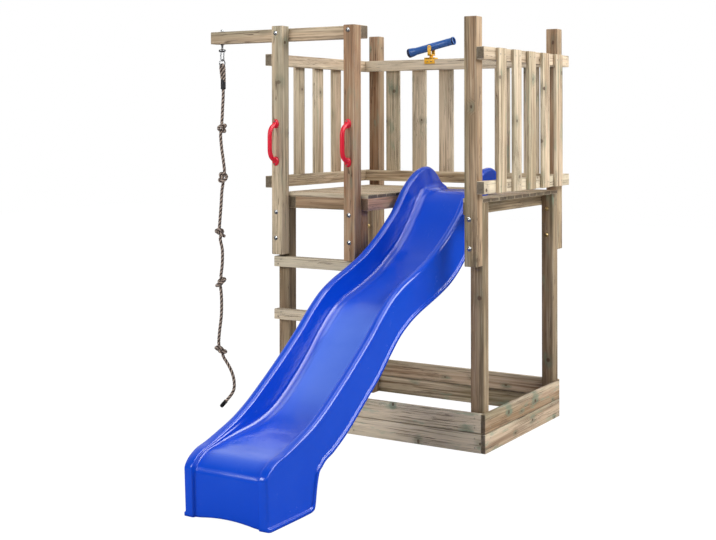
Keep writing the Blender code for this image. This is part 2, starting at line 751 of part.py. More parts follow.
def make_ring(axis):
    """A round ring on the link's bar, turned a little about the vertical."""
    bpy.ops.mesh.primitive_torus_add(
        major_radius=RING_RADIUS,
        minor_radius=RING_WIRE_RADIUS,
        major_segments=RING_STEPS,
        minor_segments=RING_SIDES,
    )
    made = bpy.context.object
    mesh = made.data
    mesh.name = "rope_ring"
    bpy.data.objects.remove(made, do_unlink=True)
    centre = (0, 0, -RING_RADIUS)
    ring = put("rope_ring", mesh, axis, centre, (0, math.pi / 2, -RING_TURN), STEEL)
    smooth(ring)


def make_rope_eye(axis):
    """The rope's eye round the ring's wire, with its two legs pressed into a black sleeve."""
    bend = RING_WIRE_RADIUS + ROPE_RADIUS + ROPE_EYE_CLEARANCE
    ring_z = RING_BOTTOM_Z - RING_TOP_Z
    sleeve_z = SLEEVE_TOP - RING_TOP_Z
    leg_x = (SLEEVE_RADIUS - SLEEVE_WALL) * EYE_LEG_PLACE
    pressed = (SLEEVE_RADIUS - SLEEVE_WALL) * EYE_LEG_PRESSED / ROPE_RADIUS
    across = Vector((math.cos(RING_TURN), -math.sin(RING_TURN), 0))
    half = [(leg_x, sleeve_z - SLEEVE_LENGTH / 2), (leg_x, sleeve_z)]
    half += [(bend * share, sleeve_z + rise) for share, rise, width in EYE_SHAPE]
    widths = [pressed, pressed] + [width for share, rise, width in EYE_SHAPE]
    arc = [(bend * math.cos(turn), ring_z + bend * math.sin(turn)) for turn in HALF_TURN]
    flat = half + arc + [(-x, z) for x, z in reversed(half)]
    reach = ring_z - sleeve_z

    def shifted(z):
        return SLEEVE_SHIFT * min(1.0, max(0.0, (ring_z - z) / reach))

    points = [across * x + Vector((shifted(z), 0, z)) for x, z in flat]
    radii = widths + [1] * len(arc) + widths[::-1]
    eye = put("rope_eye", tube_mesh("rope_eye", points, ROPE_RADIUS, 3, radii), axis, looks=BLACK_PLASTIC)

    def sleeve(bm):
        low = (SLEEVE_SHIFT, 0, sleeve_z - SLEEVE_LENGTH)
        cylinder_between(bm, low, (SLEEVE_SHIFT, 0, sleeve_z), SLEEVE_RADIUS, 20)

    boolean(eye, helper("rope_sleeve_body", mesh_from("rope_sleeve_body", sleeve), axis), "UNION")


def rope_radius_at(drop):
    """How much wider than the rope its outline is at a drop: 1 on plain rope, more in a knot."""
    wide = KNOT_RADIUS / ROPE_RADIUS
    for knot in KNOT_DROPS:
        away = abs(drop - knot) / (KNOT_LENGTH / 2)
        if away < 1:
            return 1 + (wide - 1) * math.sqrt(1 - away**2)
    return 1.0


def make_rope(axis):
    """The hanging rope with its five knots as swellings, and the black cap on its end."""
    across = smooth_line([(drop, x) for x, drop in ROPE_ROUTE])
    end = ROPE_ROUTE[-1][1]
    drops = {round(float(drop), 4) for drop in np.linspace(0, end, ROPE_SAMPLES)}
    knots = {round(knot + share * KNOT_LENGTH, 4) for knot in KNOT_DROPS for share in KNOT_PLACES}
    room = KNOT_ROOM * KNOT_LENGTH
    plain = {drop for drop in drops if all(abs(drop - knot) > room for knot in KNOT_DROPS)}
    places = sorted(plain | knots)
    top = ROPE_TOP - RING_TOP_Z
    points = [Vector((across(drop), 0, top - drop)) for drop in places]
    radii = [rope_radius_at(drop) for drop in places]
    tube("climbing_rope", points, ROPE_RADIUS, axis, looks=ROPE_FIBRE, resolution=2, radii=radii)
    direction = (points[-1] - points[-2]).normalized()
    start = points[-1] + direction * SEAT

    def cap(bm):
        cylinder_between(bm, start, start + direction * END_CAP_LENGTH, END_CAP_RADIUS)

    cap_end = put("rope_end_cap", mesh_from("rope_end_cap", cap), axis, looks=BLACK_PLASTIC)
    bevel = cap_end.modifiers.new("rounded_end", "BEVEL")
    bevel.width = 0.0025
    bevel.segments = 2
    smooth(cap_end)


def make_climbing_rope():
    swing = put("rope_swing_axis", None, location=(HANGER_X, HANGER_Y, PIN_Z))
    sway = put("rope_sway_axis", None, swing, (0, 0, RING_TOP_Z - PIN_Z))
    make_hanger()
    make_link(swing)
    make_ring(sway)
    make_rope_eye(sway)
    make_rope(sway)


def make_handle(name, x):
    """A bowed grip between two domed pads that are screwed to the post's front face."""
    half = HANDLE_SPACING / 2
    out = -HANDLE_STAND_OFF
    side = [(-away, half - inward) for away, inward in HANDLE_ARM]
    side += [(out, HANDLE_GRIP_HALF), (out, HANDLE_GRIP_HALF / 2)]
    points = [(0, y, z) for y, z in side] + [(0, out, 0)] + [(0, y, -z) for y, z in reversed(side)]
    centre = (x, FRONT_FACE - SEAT, DECK_TOP + HANDLE_ABOVE_DECK)
    handle = put(name, tube_mesh(name, points, HANDLE_GRIP_RADIUS, 3), location=centre, looks=RED_PLASTIC)

    def pads(bm):
        for sign in (-1, 1):
            made = bmesh.ops.create_uvsphere(bm, u_segments=16, v_segments=10, radius=1)["verts"]
            bmesh.ops.scale(bm, vec=HANDLE_PAD, verts=made)
            bmesh.ops.translate(bm, vec=(0, 0, sign * half), verts=made)
        flat = bmesh.ops.bisect_plane(
            bm,
            geom=[*bm.verts, *bm.edges, *bm.faces],
            plane_co=(0, 0, 0),
            plane_no=(0, 1, 0),
            clear_outer=True,
        )
        edges = [item for item in flat["geom_cut"] if isinstance(item, bmesh.types.BMEdge)]
        bmesh.ops.holes_fill(bm, edges=edges)
        bmesh.ops.recalc_face_normals(bm, faces=bm.faces)

    boolean(handle, helper(f"{name}_pads", mesh_from(f"{name}_pads", pads), location=centre), "UNION")
    smooth(handle)


def make_telescope():
    rail_y = FRAME_DEPTH - RAIL_THICKNESS / 2
    pan_z = RAIL_TOP + SEAT + SADDLE_PLATE
    pivot_z = RAIL_TOP + TELESCOPE_PIVOT_RISE
    arm_gap = TELESCOPE_BODY_RADIUS + TELESCOPE_PIVOT_GAP

    def saddle(bm):
        depth = RAIL_THICKNESS + SADDLE_SKIRT_THICKNESS + SEAT
        made = bmesh.ops.create_cube(bm, size=1)["verts"]
        bmesh.ops.scale(bm, vec=(SADDLE_WIDTH, depth, SADDLE_PLATE), verts=made)
        bmesh.ops.translate(bm, vec=(0, RAIL_THICKNESS / 2 - depth / 2, SADDLE_PLATE / 2 + SEAT), verts=made)

    def skirt(bm):
        high = SADDLE_PLATE + SEAT
        front = -RAIL_THICKNESS / 2 - SEAT
        bmesh.ops.create_cube(bm, size=1)
        bmesh.ops.scale(bm, vec=(SADDLE_WIDTH, SADDLE_SKIRT_THICKNESS, high + SADDLE_SKIRT), verts=bm.verts)
        middle = (high - SADDLE_SKIRT) / 2
        bmesh.ops.translate(bm, vec=(0, front - SADDLE_SKIRT_THICKNESS / 2, middle), verts=bm.verts)

    def peg(bm):
        low = SADDLE_PLATE / 2
        cylinder_between(bm, (0, 0, low), (0, 0, SADDLE_PLATE + SEAT + FORK_PEG_HEIGHT), FORK_PEG_RADIUS, 20)

    at = (TELESCOPE_X, rail_y, RAIL_TOP)
    base = put("telescope_base", mesh_from("telescope_base", saddle), location=at, looks=YELLOW_PLASTIC)
    for build in (skirt, peg):
        name = f"telescope_{build.__name__}"
        boolean(base, helper(name, mesh_from(name, build), location=at), "UNION")

    pan = put("telescope_pan_axis", None, location=(TELESCOPE_X, rail_y, pan_z))
    pivot_rise = pivot_z - pan_z
    disc_low = FORK_PEG_HEIGHT + SEAT

    def disc(bm):
        cylinder_between(bm, (0, 0, disc_low), (0, 0, disc_low + FORK_DISC_THICKNESS), FORK_DISC_RADIUS, 24)

    def arms(bm):
        for side in (-1, 1):
            low = disc_low + FORK_DISC_THICKNESS / 2
            high = pivot_rise + FORK_ARM_TOP
            made = bmesh.ops.create_cube(bm, size=1)["verts"]
            bmesh.ops.scale(bm, vec=(FORK_ARM_WIDTH, FORK_ARM_THICKNESS, high - low), verts=made)
            place = (0, side * (arm_gap + FORK_ARM_THICKNESS / 2), (low + high) / 2)
            bmesh.ops.translate(bm, vec=place, verts=made)

    def bridge(bm):
        bmesh.ops.create_cube(bm, size=1)
        width = 2 * (arm_gap + FORK_ARM_THICKNESS)
        bmesh.ops.scale(bm, vec=(FORK_ARM_WIDTH, width, FORK_DISC_THICKNESS), verts=bm.verts)
        bmesh.ops.translate(bm, vec=(0, 0, disc_low + FORK_DISC_THICKNESS / 2), verts=bm.verts)

    def pin_bores(bm):
        reach = arm_gap + 3 * FORK_ARM_THICKNESS
        radius = PIN_RADIUS + TELESCOPE_PIVOT_GAP / 4
        cylinder_between(bm, (0, -reach, pivot_rise), (0, reach, pivot_rise), radius)

    fork = put("telescope_fork", mesh_from("telescope_fork", disc), pan, looks=YELLOW_PLASTIC)
    boolean(fork, helper("fork_bridge", mesh_from("fork_bridge", bridge), pan), "UNION")
    boolean(fork, helper("fork_arms", mesh_from("fork_arms", arms), pan), "UNION")
    boolean(fork, helper("fork_pin_bores", mesh_from("fork_pin_bores", pin_bores), pan), "DIFFERENCE")

    tilt = put("telescope_tilt_axis", None, pan, (0, 0, pivot_rise), (0, -TELESCOPE_TILT, 0))
    end = TELESCOPE_HALF_LENGTH
    body = TELESCOPE_BODY_RADIUS
    bell = TELESCOPE_BELL_RADIUS
    rim = TELESCOPE_RIM_RADIUS
    bore = body - TELESCOPE_WALL
    neck = TELESCOPE_BELL_LENGTH - end
    flare = [
        (body + (bell - body) * share, neck - along * TELESCOPE_BELL_LENGTH) for share, along in TELESCOPE_FLARE
    ]
    # Outline of half the tube, from the solid middle through the upper bore, over the outside and back
    outline = [
        (0, TELESCOPE_BLOCK_HALF),
        (bore, TELESCOPE_BLOCK_HALF),
        (bore, end),
        (rim, end),
        (rim, end - TELESCOPE_RIM_LENGTH),
        (body, end - TELESCOPE_RIM_LENGTH - TELESCOPE_SHOULDER),
        (body, neck),
        *flare,
        (bell, TELESCOPE_SHOULDER - end),
        (bell - TELESCOPE_SHOULDER, -end),
        (bore, -end),
        (bore, -TELESCOPE_BLOCK_HALF),
        (0, -TELESCOPE_BLOCK_HALF),
    ]

    def profile(bm):
        verts = [bm.verts.new((radius, 0, along)) for radius, along in outline]
        for pair in zip(verts, verts[1:]):
            bm.edges.new(pair)

    mesh = mesh_from("telescope_tube", profile)
    scope = put("telescope_tube", mesh, tilt, rotation=(0, math.pi / 2, 0), looks=NAVY_PLASTIC)
    turned = scope.modifiers.new("turned", "SCREW")
    turned.steps = TELESCOPE_STEPS
    turned.render_steps = TELESCOPE_STEPS
    turned.use_smooth_shade = True
    turned.use_merge_vertices = True
    turned.merge_threshold = 1e-5

    def pins(bm):
        for side in (-1, 1):
            start = side * (body - 0.002)
            cylinder_between(bm, (0, start, 0), (0, side * (arm_gap + FORK_ARM_THICKNESS), 0), PIN_RADIUS)

    boolean(scope, helper("telescope_pins", mesh_from("telescope_pins", pins), tilt), "UNION")


def slide_section(y, lines):
    """Half of the slide's section at y, from the lower band over the rim to the middle of the floor."""
    rim, floor, lower = (line(y) for line in lines)
    room = rim - lower
    depth = rim - floor
    band_top = lower + min(SLIDE_BAND_HEIGHT, SLIDE_BAND_SHARE * room)
    skirt_low = band_top + min(SLIDE_BAND_STEP, SLIDE_STEP_SHARE * room)
    radius = min(SLIDE_RIM_RADIUS, SLIDE_RADIUS_OF_DEPTH * depth, SLIDE_RADIUS_SHARE * room)
    fillet = min(SLIDE_FLOOR_FILLET, SLIDE_FILLET_OF_DEPTH * depth)
    half = SLIDE_HALF_WIDTH
    wide = half + SLIDE_BAND
    inner = half - SLIDE_RIM_WIDTH
    bend = rim - radius
    points = [(wide, lower), (wide, band_top), (half, skirt_low), (half, (skirt_low + bend) / 2)]
    for turn in SLIDE_ARC:
        points.append((half - radius + radius * math.cos(turn), bend + radius * math.sin(turn)))
    for turn in reversed(SLIDE_ARC):
        points.append((inner + radius - radius * math.cos(turn), bend + radius * math.sin(turn)))
    wall_foot = inner - SLIDE_WALL_LEAN * depth
    inward, upward = SLIDE_FILLET_MIDDLE
    points.append((wall_foot, floor + fillet))
    points.append((wall_foot - inward * fillet, floor + upward * fillet))
    points.append((min(wall_foot - fillet, SLIDE_FLOOR_HALF), floor))
    points.append((0, floor))
    return points


def make_slide():
    """A shell lofted over sections along Y, closed at its foot by an apron that is arched at the ground."""

    def height(z):
        above_deck = z - SLIDE_DRAWN_DECK
        return DECK_TOP + above_deck if above_deck > 0 else z * DECK_TOP / SLIDE_DRAWN_DECK

    lines = [
        smooth_line([(y, height(z)) for y, z in line])
        for line in (SLIDE_RIM_LINE, SLIDE_FLOOR_LINE, SLIDE_LOWER_LINE)
    ]
    foot_height = lines[0](SLIDE_FRONT)
    lip = SLIDE_LIP_END - SLIDE_DRAWN_RECESS
    wing = SLIDE_WING_END - SLIDE_DRAWN_RECESS

    def build(bm):
        rows = []
        for y in SLIDE_STATIONS:
            half = slide_section(y, lines)
            full = [(-x, z) for x, z in half] + [(x, z) for x, z in reversed(half[:-1])]
            shorter = SLIDE_DRAWN_RECESS + (y - SLIDE_DRAWN_RECESS) * lip / wing
            row = []
            for x, z in full:
                in_trough = abs(x) < SLIDE_HALF_WIDTH - SLIDE_RIM_WIDTH * 1.5
                place = shorter if in_trough and y > SLIDE_DRAWN_RECESS else y
                near_foot = max(0.0, 1 - (y - SLIDE_FRONT) / SLIDE_RAKE_REACH)
                place += SLIDE_FOOT_RAKE * near_foot * (1 - z / foot_height)
                row.append(bm.verts.new((x, place + SLIDE_Y_SHIFT, z)))
            rows.append(row)
        for low, high in zip(rows, rows[1:]):
            for k in range(len(low) - 1):
                bm.faces.new((low[k], low[k + 1], high[k + 1], high[k]))
        add_apron(bm, rows[0])
        bmesh.ops.recalc_face_normals(bm, faces=bm.faces)
        top = max(bm.faces, key=lambda face: face.calc_center_median().z)
        if top.normal.z < 0:
            bmesh.ops.reverse_faces(bm, faces=bm.faces)

    slide = put("slide", mesh_from("slide", build), location=(SLIDE_X, 0, 0), looks=BLUE_PLASTIC)
    shell = slide.modifiers.new("wall", "SOLIDIFY")
    shell.thickness = SLIDE_WALL
    shell.offset = -1
    shell.use_even_offset = True
    smooth(slide, 50)


def add_apron(bm, edge):
    """Closes the slide's foot with rows of points from the last section down to the ground."""
    rows = 4
    middle = edge[rows:-rows]
    ground = edge[0].co.z
    side_height = edge[rows].co.z - ground
    above = middle
    for level in range(1, rows + 1):
        left, right = edge[rows - level], edge[level - rows - 1]
        share = (left.co.z - ground) / side_height
        row = [left]
        for vert in middle[1:-1]:
            inward = (SLIDE_APRON_HALF + SLIDE_APRON_BLEND - abs(vert.co.x)) / SLIDE_APRON_BLEND
            inward = max(0.0, min(1.0, inward))
            arch = SLIDE_APRON_ARCH * max(0.0, 1 - (vert.co.x / SLIDE_APRON_HALF) ** 2)
            low = ground + arch
            depth = left.co.y + SLIDE_APRON_SETBACK * inward * min(1.0, 2 * (1 - share))
            row.append(bm.verts.new((vert.co.x, depth, low + (vert.co.z - low) * share)))
        row.append(right)
        for k in range(len(row) - 1):
            bm.faces.new((above[k], row[k], row[k + 1], above[k + 1]))
        above = row


make_legs()
make_upper_posts()
make_joists()
make_deck()
make_rungs()
make_sandbox()
make_fences()
make_rope_beam()
make_slide()
make_handle("handle_left", HANDLE_FROM_POST_EDGE)
make_handle("handle_middle", MIDDLE_LEG_X + HANDLE_FROM_POST_EDGE)
make_telescope()
make_climbing_rope()
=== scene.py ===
"""Looks of the wooden play tower: grained timber, a glossy moulded slide and a laid rope with tied knots.

Metres, in the frame's own axes. Places given here are measured from the front left corner of the legs.
"""

import math
import random

import bmesh
import bpy
import numpy as np
from mathutils import Matrix, Vector


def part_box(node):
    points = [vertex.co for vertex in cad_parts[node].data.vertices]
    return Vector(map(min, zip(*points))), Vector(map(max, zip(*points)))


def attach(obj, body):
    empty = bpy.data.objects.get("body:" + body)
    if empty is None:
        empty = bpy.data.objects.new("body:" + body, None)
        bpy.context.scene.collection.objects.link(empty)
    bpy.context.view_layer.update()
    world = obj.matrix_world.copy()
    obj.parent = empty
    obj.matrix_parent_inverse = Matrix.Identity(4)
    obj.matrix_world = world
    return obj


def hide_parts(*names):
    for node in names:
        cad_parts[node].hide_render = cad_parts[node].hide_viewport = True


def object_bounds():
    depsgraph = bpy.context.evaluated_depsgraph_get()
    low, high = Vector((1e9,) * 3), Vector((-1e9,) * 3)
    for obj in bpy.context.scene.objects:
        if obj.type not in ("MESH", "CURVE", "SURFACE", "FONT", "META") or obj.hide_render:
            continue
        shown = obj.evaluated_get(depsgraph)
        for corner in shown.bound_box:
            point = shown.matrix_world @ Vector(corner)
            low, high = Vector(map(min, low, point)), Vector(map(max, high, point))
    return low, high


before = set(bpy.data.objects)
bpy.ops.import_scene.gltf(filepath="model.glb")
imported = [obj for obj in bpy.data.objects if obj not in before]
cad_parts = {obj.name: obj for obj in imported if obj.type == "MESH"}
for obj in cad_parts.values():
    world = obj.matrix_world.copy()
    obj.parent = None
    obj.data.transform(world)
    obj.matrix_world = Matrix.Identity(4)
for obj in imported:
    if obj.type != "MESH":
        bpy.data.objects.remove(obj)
CAD_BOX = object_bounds()
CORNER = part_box("leg_front_left")[0]
SCENE = bpy.context.scene
X, Y, Z = Vector((1, 0, 0)), Vector((0, 1, 0)), Vector((0, 0, 1))


def at(x, y, z):
    """A place measured from the front left corner of the legs."""
    return Vector((x + CORNER.x, y + CORNER.y, z))


# Camera, as fitted to the posts and rails
CAMERA_PLACE = at(4.075, -5.781, 1.692)
CAMERA_TURN = math.radians(31.56)
CAMERA_ROLL = math.radians(-0.098)
CAMERA_LENS = 62.88
CAMERA_SENSOR = 36.0
CAMERA_SHIFT = -0.2067


def make_camera():
    data = bpy.data.cameras.new("camera")
    data.lens = CAMERA_LENS
    data.sensor_width = CAMERA_SENSOR
    data.shift_y = CAMERA_SHIFT
    camera = bpy.data.objects.new("camera", data)
    SCENE.collection.objects.link(camera)
    level = Matrix.Rotation(CAMERA_TURN, 4, "Z") @ Matrix.Rotation(math.pi / 2, 4, "X")
    camera.matrix_world = Matrix.Translation(CAMERA_PLACE) @ level @ Matrix.Rotation(CAMERA_ROLL, 4, "Z")
    SCENE.camera = camera


make_camera()


# Shader helpers


class Signal:
    """A value inside a material. Arithmetic on it adds Math nodes."""

    def __init__(self, nodes, socket):
        self.nodes = nodes
        self.socket = socket

    def maths(self, operation, *values):
        return self.nodes.node("ShaderNodeMath", {"operation": operation}, dict(enumerate(values)))

    def __add__(self, other):
        return self.maths("ADD", self, other)

    def __sub__(self, other):
        return self.maths("SUBTRACT", self, other)

    def __rsub__(self, other):
        return self.maths("SUBTRACT", other, self)

    def __mul__(self, other):
        return self.maths("MULTIPLY", self, other)

    def __truediv__(self, other):
        return self.maths("DIVIDE", self, other)

    def __pow__(self, other):
        return self.maths("POWER", self, other)

    __radd__ = __add__
    __rmul__ = __mul__

    def fraction(self):
        return self.maths("FRACT", self)

    def wave(self):
        return self.maths("SINE", self)

    def between(self, low, high):
        """0 below low, 1 above high, and a smooth rise from one to the other."""
        settings = {"interpolation_type": "SMOOTHSTEP"}
        return self.nodes.node("ShaderNodeMapRange", settings, {0: self, 1: low, 2: high})


class Nodes:
    """The nodes of one material, or of the world."""

    def __init__(self, tree):
        self.tree = tree

    def node(self, kind, settings, values, output=0):
        """Adds a node with its settings and the values or links of its sockets, and gives one output."""
        made = self.tree.nodes.new(kind)
        for name, value in settings.items():
            setattr(made, name, value)
        for socket, value in values.items():
            self.feed(made.inputs[socket], value)
        return Signal(self, made.outputs[output])

    def feed(self, socket, value):
        if isinstance(value, Signal):
            self.tree.links.new(value.socket, socket)
        else:
            socket.default_value = value

    def attribute(self, name, output="Fac"):
        return self.node("ShaderNodeAttribute", {"attribute_name": name}, {}, output)

    def place(self):
        return self.node("ShaderNodeTexCoord", {}, {}, "Object")

    def parts(self, vector):
        """The X, Y and Z of a vector."""
        made = self.node("ShaderNodeSeparateXYZ", {}, {0: vector})
        return [Signal(self, socket) for socket in made.socket.node.outputs]

    def vector(self, x, y, z):
        return self.node("ShaderNodeCombineXYZ", {}, {0: x, 1: y, 2: z})

    def noise(self, vector, scale=1.0, detail=2.0, roughness=0.5):
        values = {"Vector": vector, "Scale": scale, "Detail": detail, "Roughness": roughness}
        return self.node("ShaderNodeTexNoise", {}, values, "Fac")

    def mix(self, share, first, second):
        """A colour between two colours."""
        made = self.node("ShaderNodeMix", {"data_type": "RGBA"}, {0: share}, 2)
        node = made.socket.node
        for socket, value in ((6, first), (7, second)):
            self.feed(node.inputs[socket], value if isinstance(value, Signal) else (*value, 1))
        return made


class Finish(Nodes):
    """A material with one Principled shader. Even values are set on its sockets, and nodes vary the rest."""

    def __init__(self, name, **even):
        self.material = bpy.data.materials.new(name)
        self.material.use_nodes = True
        super().__init__(self.material.node_tree)
        self.shader = self.tree.nodes["Principled BSDF"]
        for socket, value in even.items():
            self.shader.inputs[socket.replace("_", " ")].default_value = value

    def set(self, **varied):
        for socket, value in varied.items():
            self.feed(self.shader.inputs[socket.replace("_", " ")], value)

    def bump(self, height, distance, strength=1.0):
        values = {"Height": height, "Distance": distance, "Strength": strength}
        self.set(Normal=self.node("ShaderNodeBump", {}, values))


# Finishes of the timber, which read each piece's own grain lines, so that no two pieces look alike

RING_PITCH = 0.0052
HEARTWOOD_RADIUS = 0.050
# Knot cells for each metre along the trunk and each radian round it
KNOTS_ALONG = 4.3
KNOTS_ROUND = 0.27
KNOT_RADIUS = 0.0165
DARK_TIMBER = (0.075, 0.056, 0.034)
PALE_TIMBER = (0.80, 0.70, 0.54)
STAIN_GREEN = (0.20, 0.31, 0.22)
RED_HEART = (0.46, 0.150, 0.055)
OLD_GREY = (0.30, 0.265, 0.195)
OLIVE = (0.37, 0.335, 0.185)
LINE_BROWN = (0.13, 0.088, 0.050)
KNOT_BROWN = (0.085, 0.045, 0.024)
END_BROWN = (0.070, 0.050, 0.030)


def wood_finish(name, pale, brown, knotty=0.5, streaks=0.75):
    """Pressure-treated pine: rings round a pith, knots that grow out of it, cracks and green stains."""
    look = Finish(name, Specular_IOR_Level=0.35)
    tone, stain, red, end, worn = (look.attribute(kind) for kind in ("tone", "stain", "red", "end", "worn"))
    along, side, face = look.parts(look.attribute("grain", "Vector"))
    wander = look.noise(look.vector(along * 1.3, side * 5, face * 5), detail=2)

    # Knots sit in cells along and round the trunk, and push the rings aside
    turn = look.node("ShaderNodeMath", {"operation": "ARCTAN2"}, {0: face, 1: side})
    spots = look.node(
        "ShaderNodeTexVoronoi",
        {"voronoi_dimensions": "2D"},
        {"Vector": look.vector(along * KNOTS_ALONG, turn * KNOTS_ROUND, 0), "Scale": 1, "Randomness": 0.95},
        "Distance",
    )
    chance, size, darkness = look.parts(Signal(look, spots.socket.node.outputs["Color"]))
    seam = turn.maths("ABSOLUTE", turn).between(2.75, 2.95)
    present = chance.between(1 - knotty, 1.02 - knotty) * (1 - seam)
    away = spots / KNOTS_ALONG / (size * 0.7 + 0.35)
    knot = (1 - away.between(KNOT_RADIUS * 0.55, KNOT_RADIUS)) * present
    halo = (1 - away.between(KNOT_RADIUS, KNOT_RADIUS * 4.5)) * present

    # Rings, and streaks from thin fibres to broad clouds
    radius = (side * side + face * face) ** 0.5 + (wander - 0.5) * 0.030 + halo * 0.012
    ring = (radius / RING_PITCH).fraction()
    late = ring * ring * ring
    fibres = look.noise(look.vector(along * 7, side * 420, face * 420), detail=3, roughness=0.65)
    lines = look.noise(look.vector(along * 2.2, side * 120, face * 120), detail=3, roughness=0.72)
    broad = look.noise(look.vector(along * 1.5, side * 55, face * 55), detail=3, roughness=0.6)
    blotch = look.noise(look.vector(along * 3.2, side * 15, face * 15), detail=3)
    cloud = look.noise(look.vector(along * 1.1, side * 9, face * 9), detail=2)
    heart = 1 - radius.between(HEARTWOOD_RADIUS * 0.6, HEARTWOOD_RADIUS * 1.25)

    # Colour, from the body of the wood to its lines
    depth = (broad - 0.5) * 4.0 * streaks + (cloud - 0.5) * 2.4 + late * 0.34 + 0.34
    colour = look.mix(depth.between(-0.15, 1.15), pale, brown)
    colour = look.mix(cloud.between(0.48, 0.66) * 0.36, colour, OLIVE)
    colour = look.mix(heart * 0.22 + red * 0.8 * blotch.between(0.2, 0.6), colour, RED_HEART)
    colour = look.mix(blotch.between(0.50, 0.70) * 0.24, colour, OLD_GREY)
    colour = look.mix((tone - 0.5) * 1.15, colour, DARK_TIMBER)
    colour = look.mix((0.5 - tone) * 1.15, colour, PALE_TIMBER)
    colour = look.mix(lines.between(0.53, 0.66) * 0.74, colour, LINE_BROWN)
    colour = look.mix((1 - lines.between(0.32, 0.45)) * 0.34, colour, PALE_TIMBER)
    colour = look.mix(fibres.between(0.35, 0.75) * 0.20, colour, LINE_BROWN)

    # Stains, cracks, knots and end grain
    tint = look.noise(look.vector(along * 6, side * 24, face * 24), detail=4, roughness=0.6)
    greened = tint.between(0.54, 0.68) * stain * 0.75 + halo * tint.between(0.35, 0.6) * stain * 1.1
    colour = look.mix(greened.between(0, 1.1) * 0.70, colour, STAIN_GREEN)
    cracks = look.noise(look.vector(along * 2.1, side * 130 + face * 40, 0), detail=2)
    crack = cracks.maths("COMPARE", cracks, 0.5, 0.010) * blotch.between(0.52, 0.56)
    colour = look.mix(halo * 0.30, colour, LINE_BROWN)
    colour = look.mix(knot * (0.6 + darkness * 0.38), colour, KNOT_BROWN)
    colour = look.mix(crack * 0.8, colour, KNOT_BROWN)
    colour = look.mix(worn * fibres.between(0.35, 0.6) * 0.35, colour, OLD_GREY)
    colour = look.mix(end * (0.76 + late * 0.18), colour, END_BROWN)
    look.set(Base_Color=colour, Roughness=0.62 + fibres * 0.16 + stain * 0.04 - knot * 0.12)
    look.bump(late * 0.30 + fibres * 0.35 + lines * 0.4 - crack * 1.6 + knot * 0.3, 0.0009, 0.55)
    return look.material


WOODS = {
    "treated_pine": wood_finish("treated_pine", (0.60, 0.460, 0.290), (0.150, 0.104, 0.056), 0.50),
    "deck_pine": wood_finish("deck_pine", (0.66, 0.560, 0.41), (0.38, 0.295, 0.190), 0.40, 0.6),
    "sandbox_pine": wood_finish("sandbox_pine", (0.67, 0.555, 0.40), (0.21, 0.150, 0.092), 0.65, 0.9),
    "fence_pine": wood_finish("fence_pine", (0.76, 0.635, 0.445), (0.29, 0.205, 0.115), 0.60, 0.9),
}


# Plastics, steel and rope


def moulded_finish(name, colour, worn, roughness, scuff=0.25, coat=0.0, grain=0.00012, sheen_and_rub=None):
    """Moulded plastic: a fine skin, cloudy gloss, hair-thin scratches, and, where asked, a paler patch that
    is painted sheen of overhead light together with rub wear.
    """
    look = Finish(name, Coat_Roughness=0.08, IOR=1.5)
    place = look.place()
    x, y, z = look.parts(place)
    cloud = look.noise(place, 5.5, 3)
    skin = look.noise(place, 900, 2)
    wander = look.noise(place, 38, 3) * 0.05
    strokes = look.noise(look.vector((x + wander) * 260, y * 9, z * 9), 1, 3, 0.7)
    scratch = strokes.between(0.62, 0.74) * cloud.between(0.42, 0.66)
    tone = look.mix(cloud.between(0.25, 0.8) * 0.35, colour, worn)
    tone = look.mix(scratch * scuff, tone, tuple(min(1, c * 0.6 + 0.25) for c in worn))
    # A paler patch where the attribute says so: painted sheen of overhead light, together with rub wear.
    if sheen_and_rub:
        dull = look.attribute("sheen_and_rub") * (cloud * 0.5 + 0.65)
        tone = look.mix(dull, tone, sheen_and_rub)
    look.set(Base_Color=tone, Coat_Weight=coat)
    look.set(Roughness=cloud * 0.12 + scratch * 0.18 + (roughness - 0.06))
    look.bump(skin * 0.6 + cloud * 1.5 - scratch * 0.5, grain, 0.5)
    return look.material


def steel_finish(name, colour, dull):
    look = Finish(name, Metallic=1.0)
    place = look.place()
    spangle = look.node("ShaderNodeTexVoronoi", {}, {"Vector": place, "Scale": 420}, "Color")
    cell, _, shine = look.parts(spangle)
    cloud = look.noise(place, 130, 3)
    look.set(Base_Color=look.mix(cell * 0.4 + cloud.between(0.4, 0.7) * 0.4, colour, dull))
    look.set(Roughness=shine * 0.14 + cloud * 0.22 + 0.14)
    look.bump(cloud, 0.0003, 0.5)
    return look.material


def rope_finish(name, dark, beige):
    """Laid rope: strands of two colours, each one of twisted fibres, with painted shade in the grooves
    between the strands.
    """
    look = Finish(name, Specular_IOR_Level=0.25, Sheen_Weight=0.25, Sheen_Roughness=0.6)
    strand = look.attribute("strand")
    crown = look.attribute("crown")
    run = look.attribute("run", "Vector")
    place = look.place()
    yarns = look.noise(run, 1, 2, 0.6)
    fuzz = look.noise(place, 1300, 3, 0.7)
    dirt = look.noise(place, 45, 3)
    pair = look.mix(strand.between(0.35, 0.65), dark, beige)
    pair = look.mix(yarns.between(0.4, 0.75) * 0.35, pair, (0.13, 0.09, 0.065))
    pair = look.mix(dirt.between(0.45, 0.75) * 0.25, pair, (0.16, 0.115, 0.09))
    # Nearly black in the grooves between strands: painted shade.
    pair = look.mix((1 - crown.between(0.0, 0.45)) * 0.75, pair, (0.03, 0.02, 0.016))
    pair = look.mix(fuzz.between(0.55, 0.8) * 0.30, pair, (0.52, 0.42, 0.35))
    look.set(Base_Color=pair, Roughness=0.80 + fuzz * 0.15)
    look.bump(yarns * 0.7 + fuzz * 0.5, 0.0006, 0.8)
    return look.material


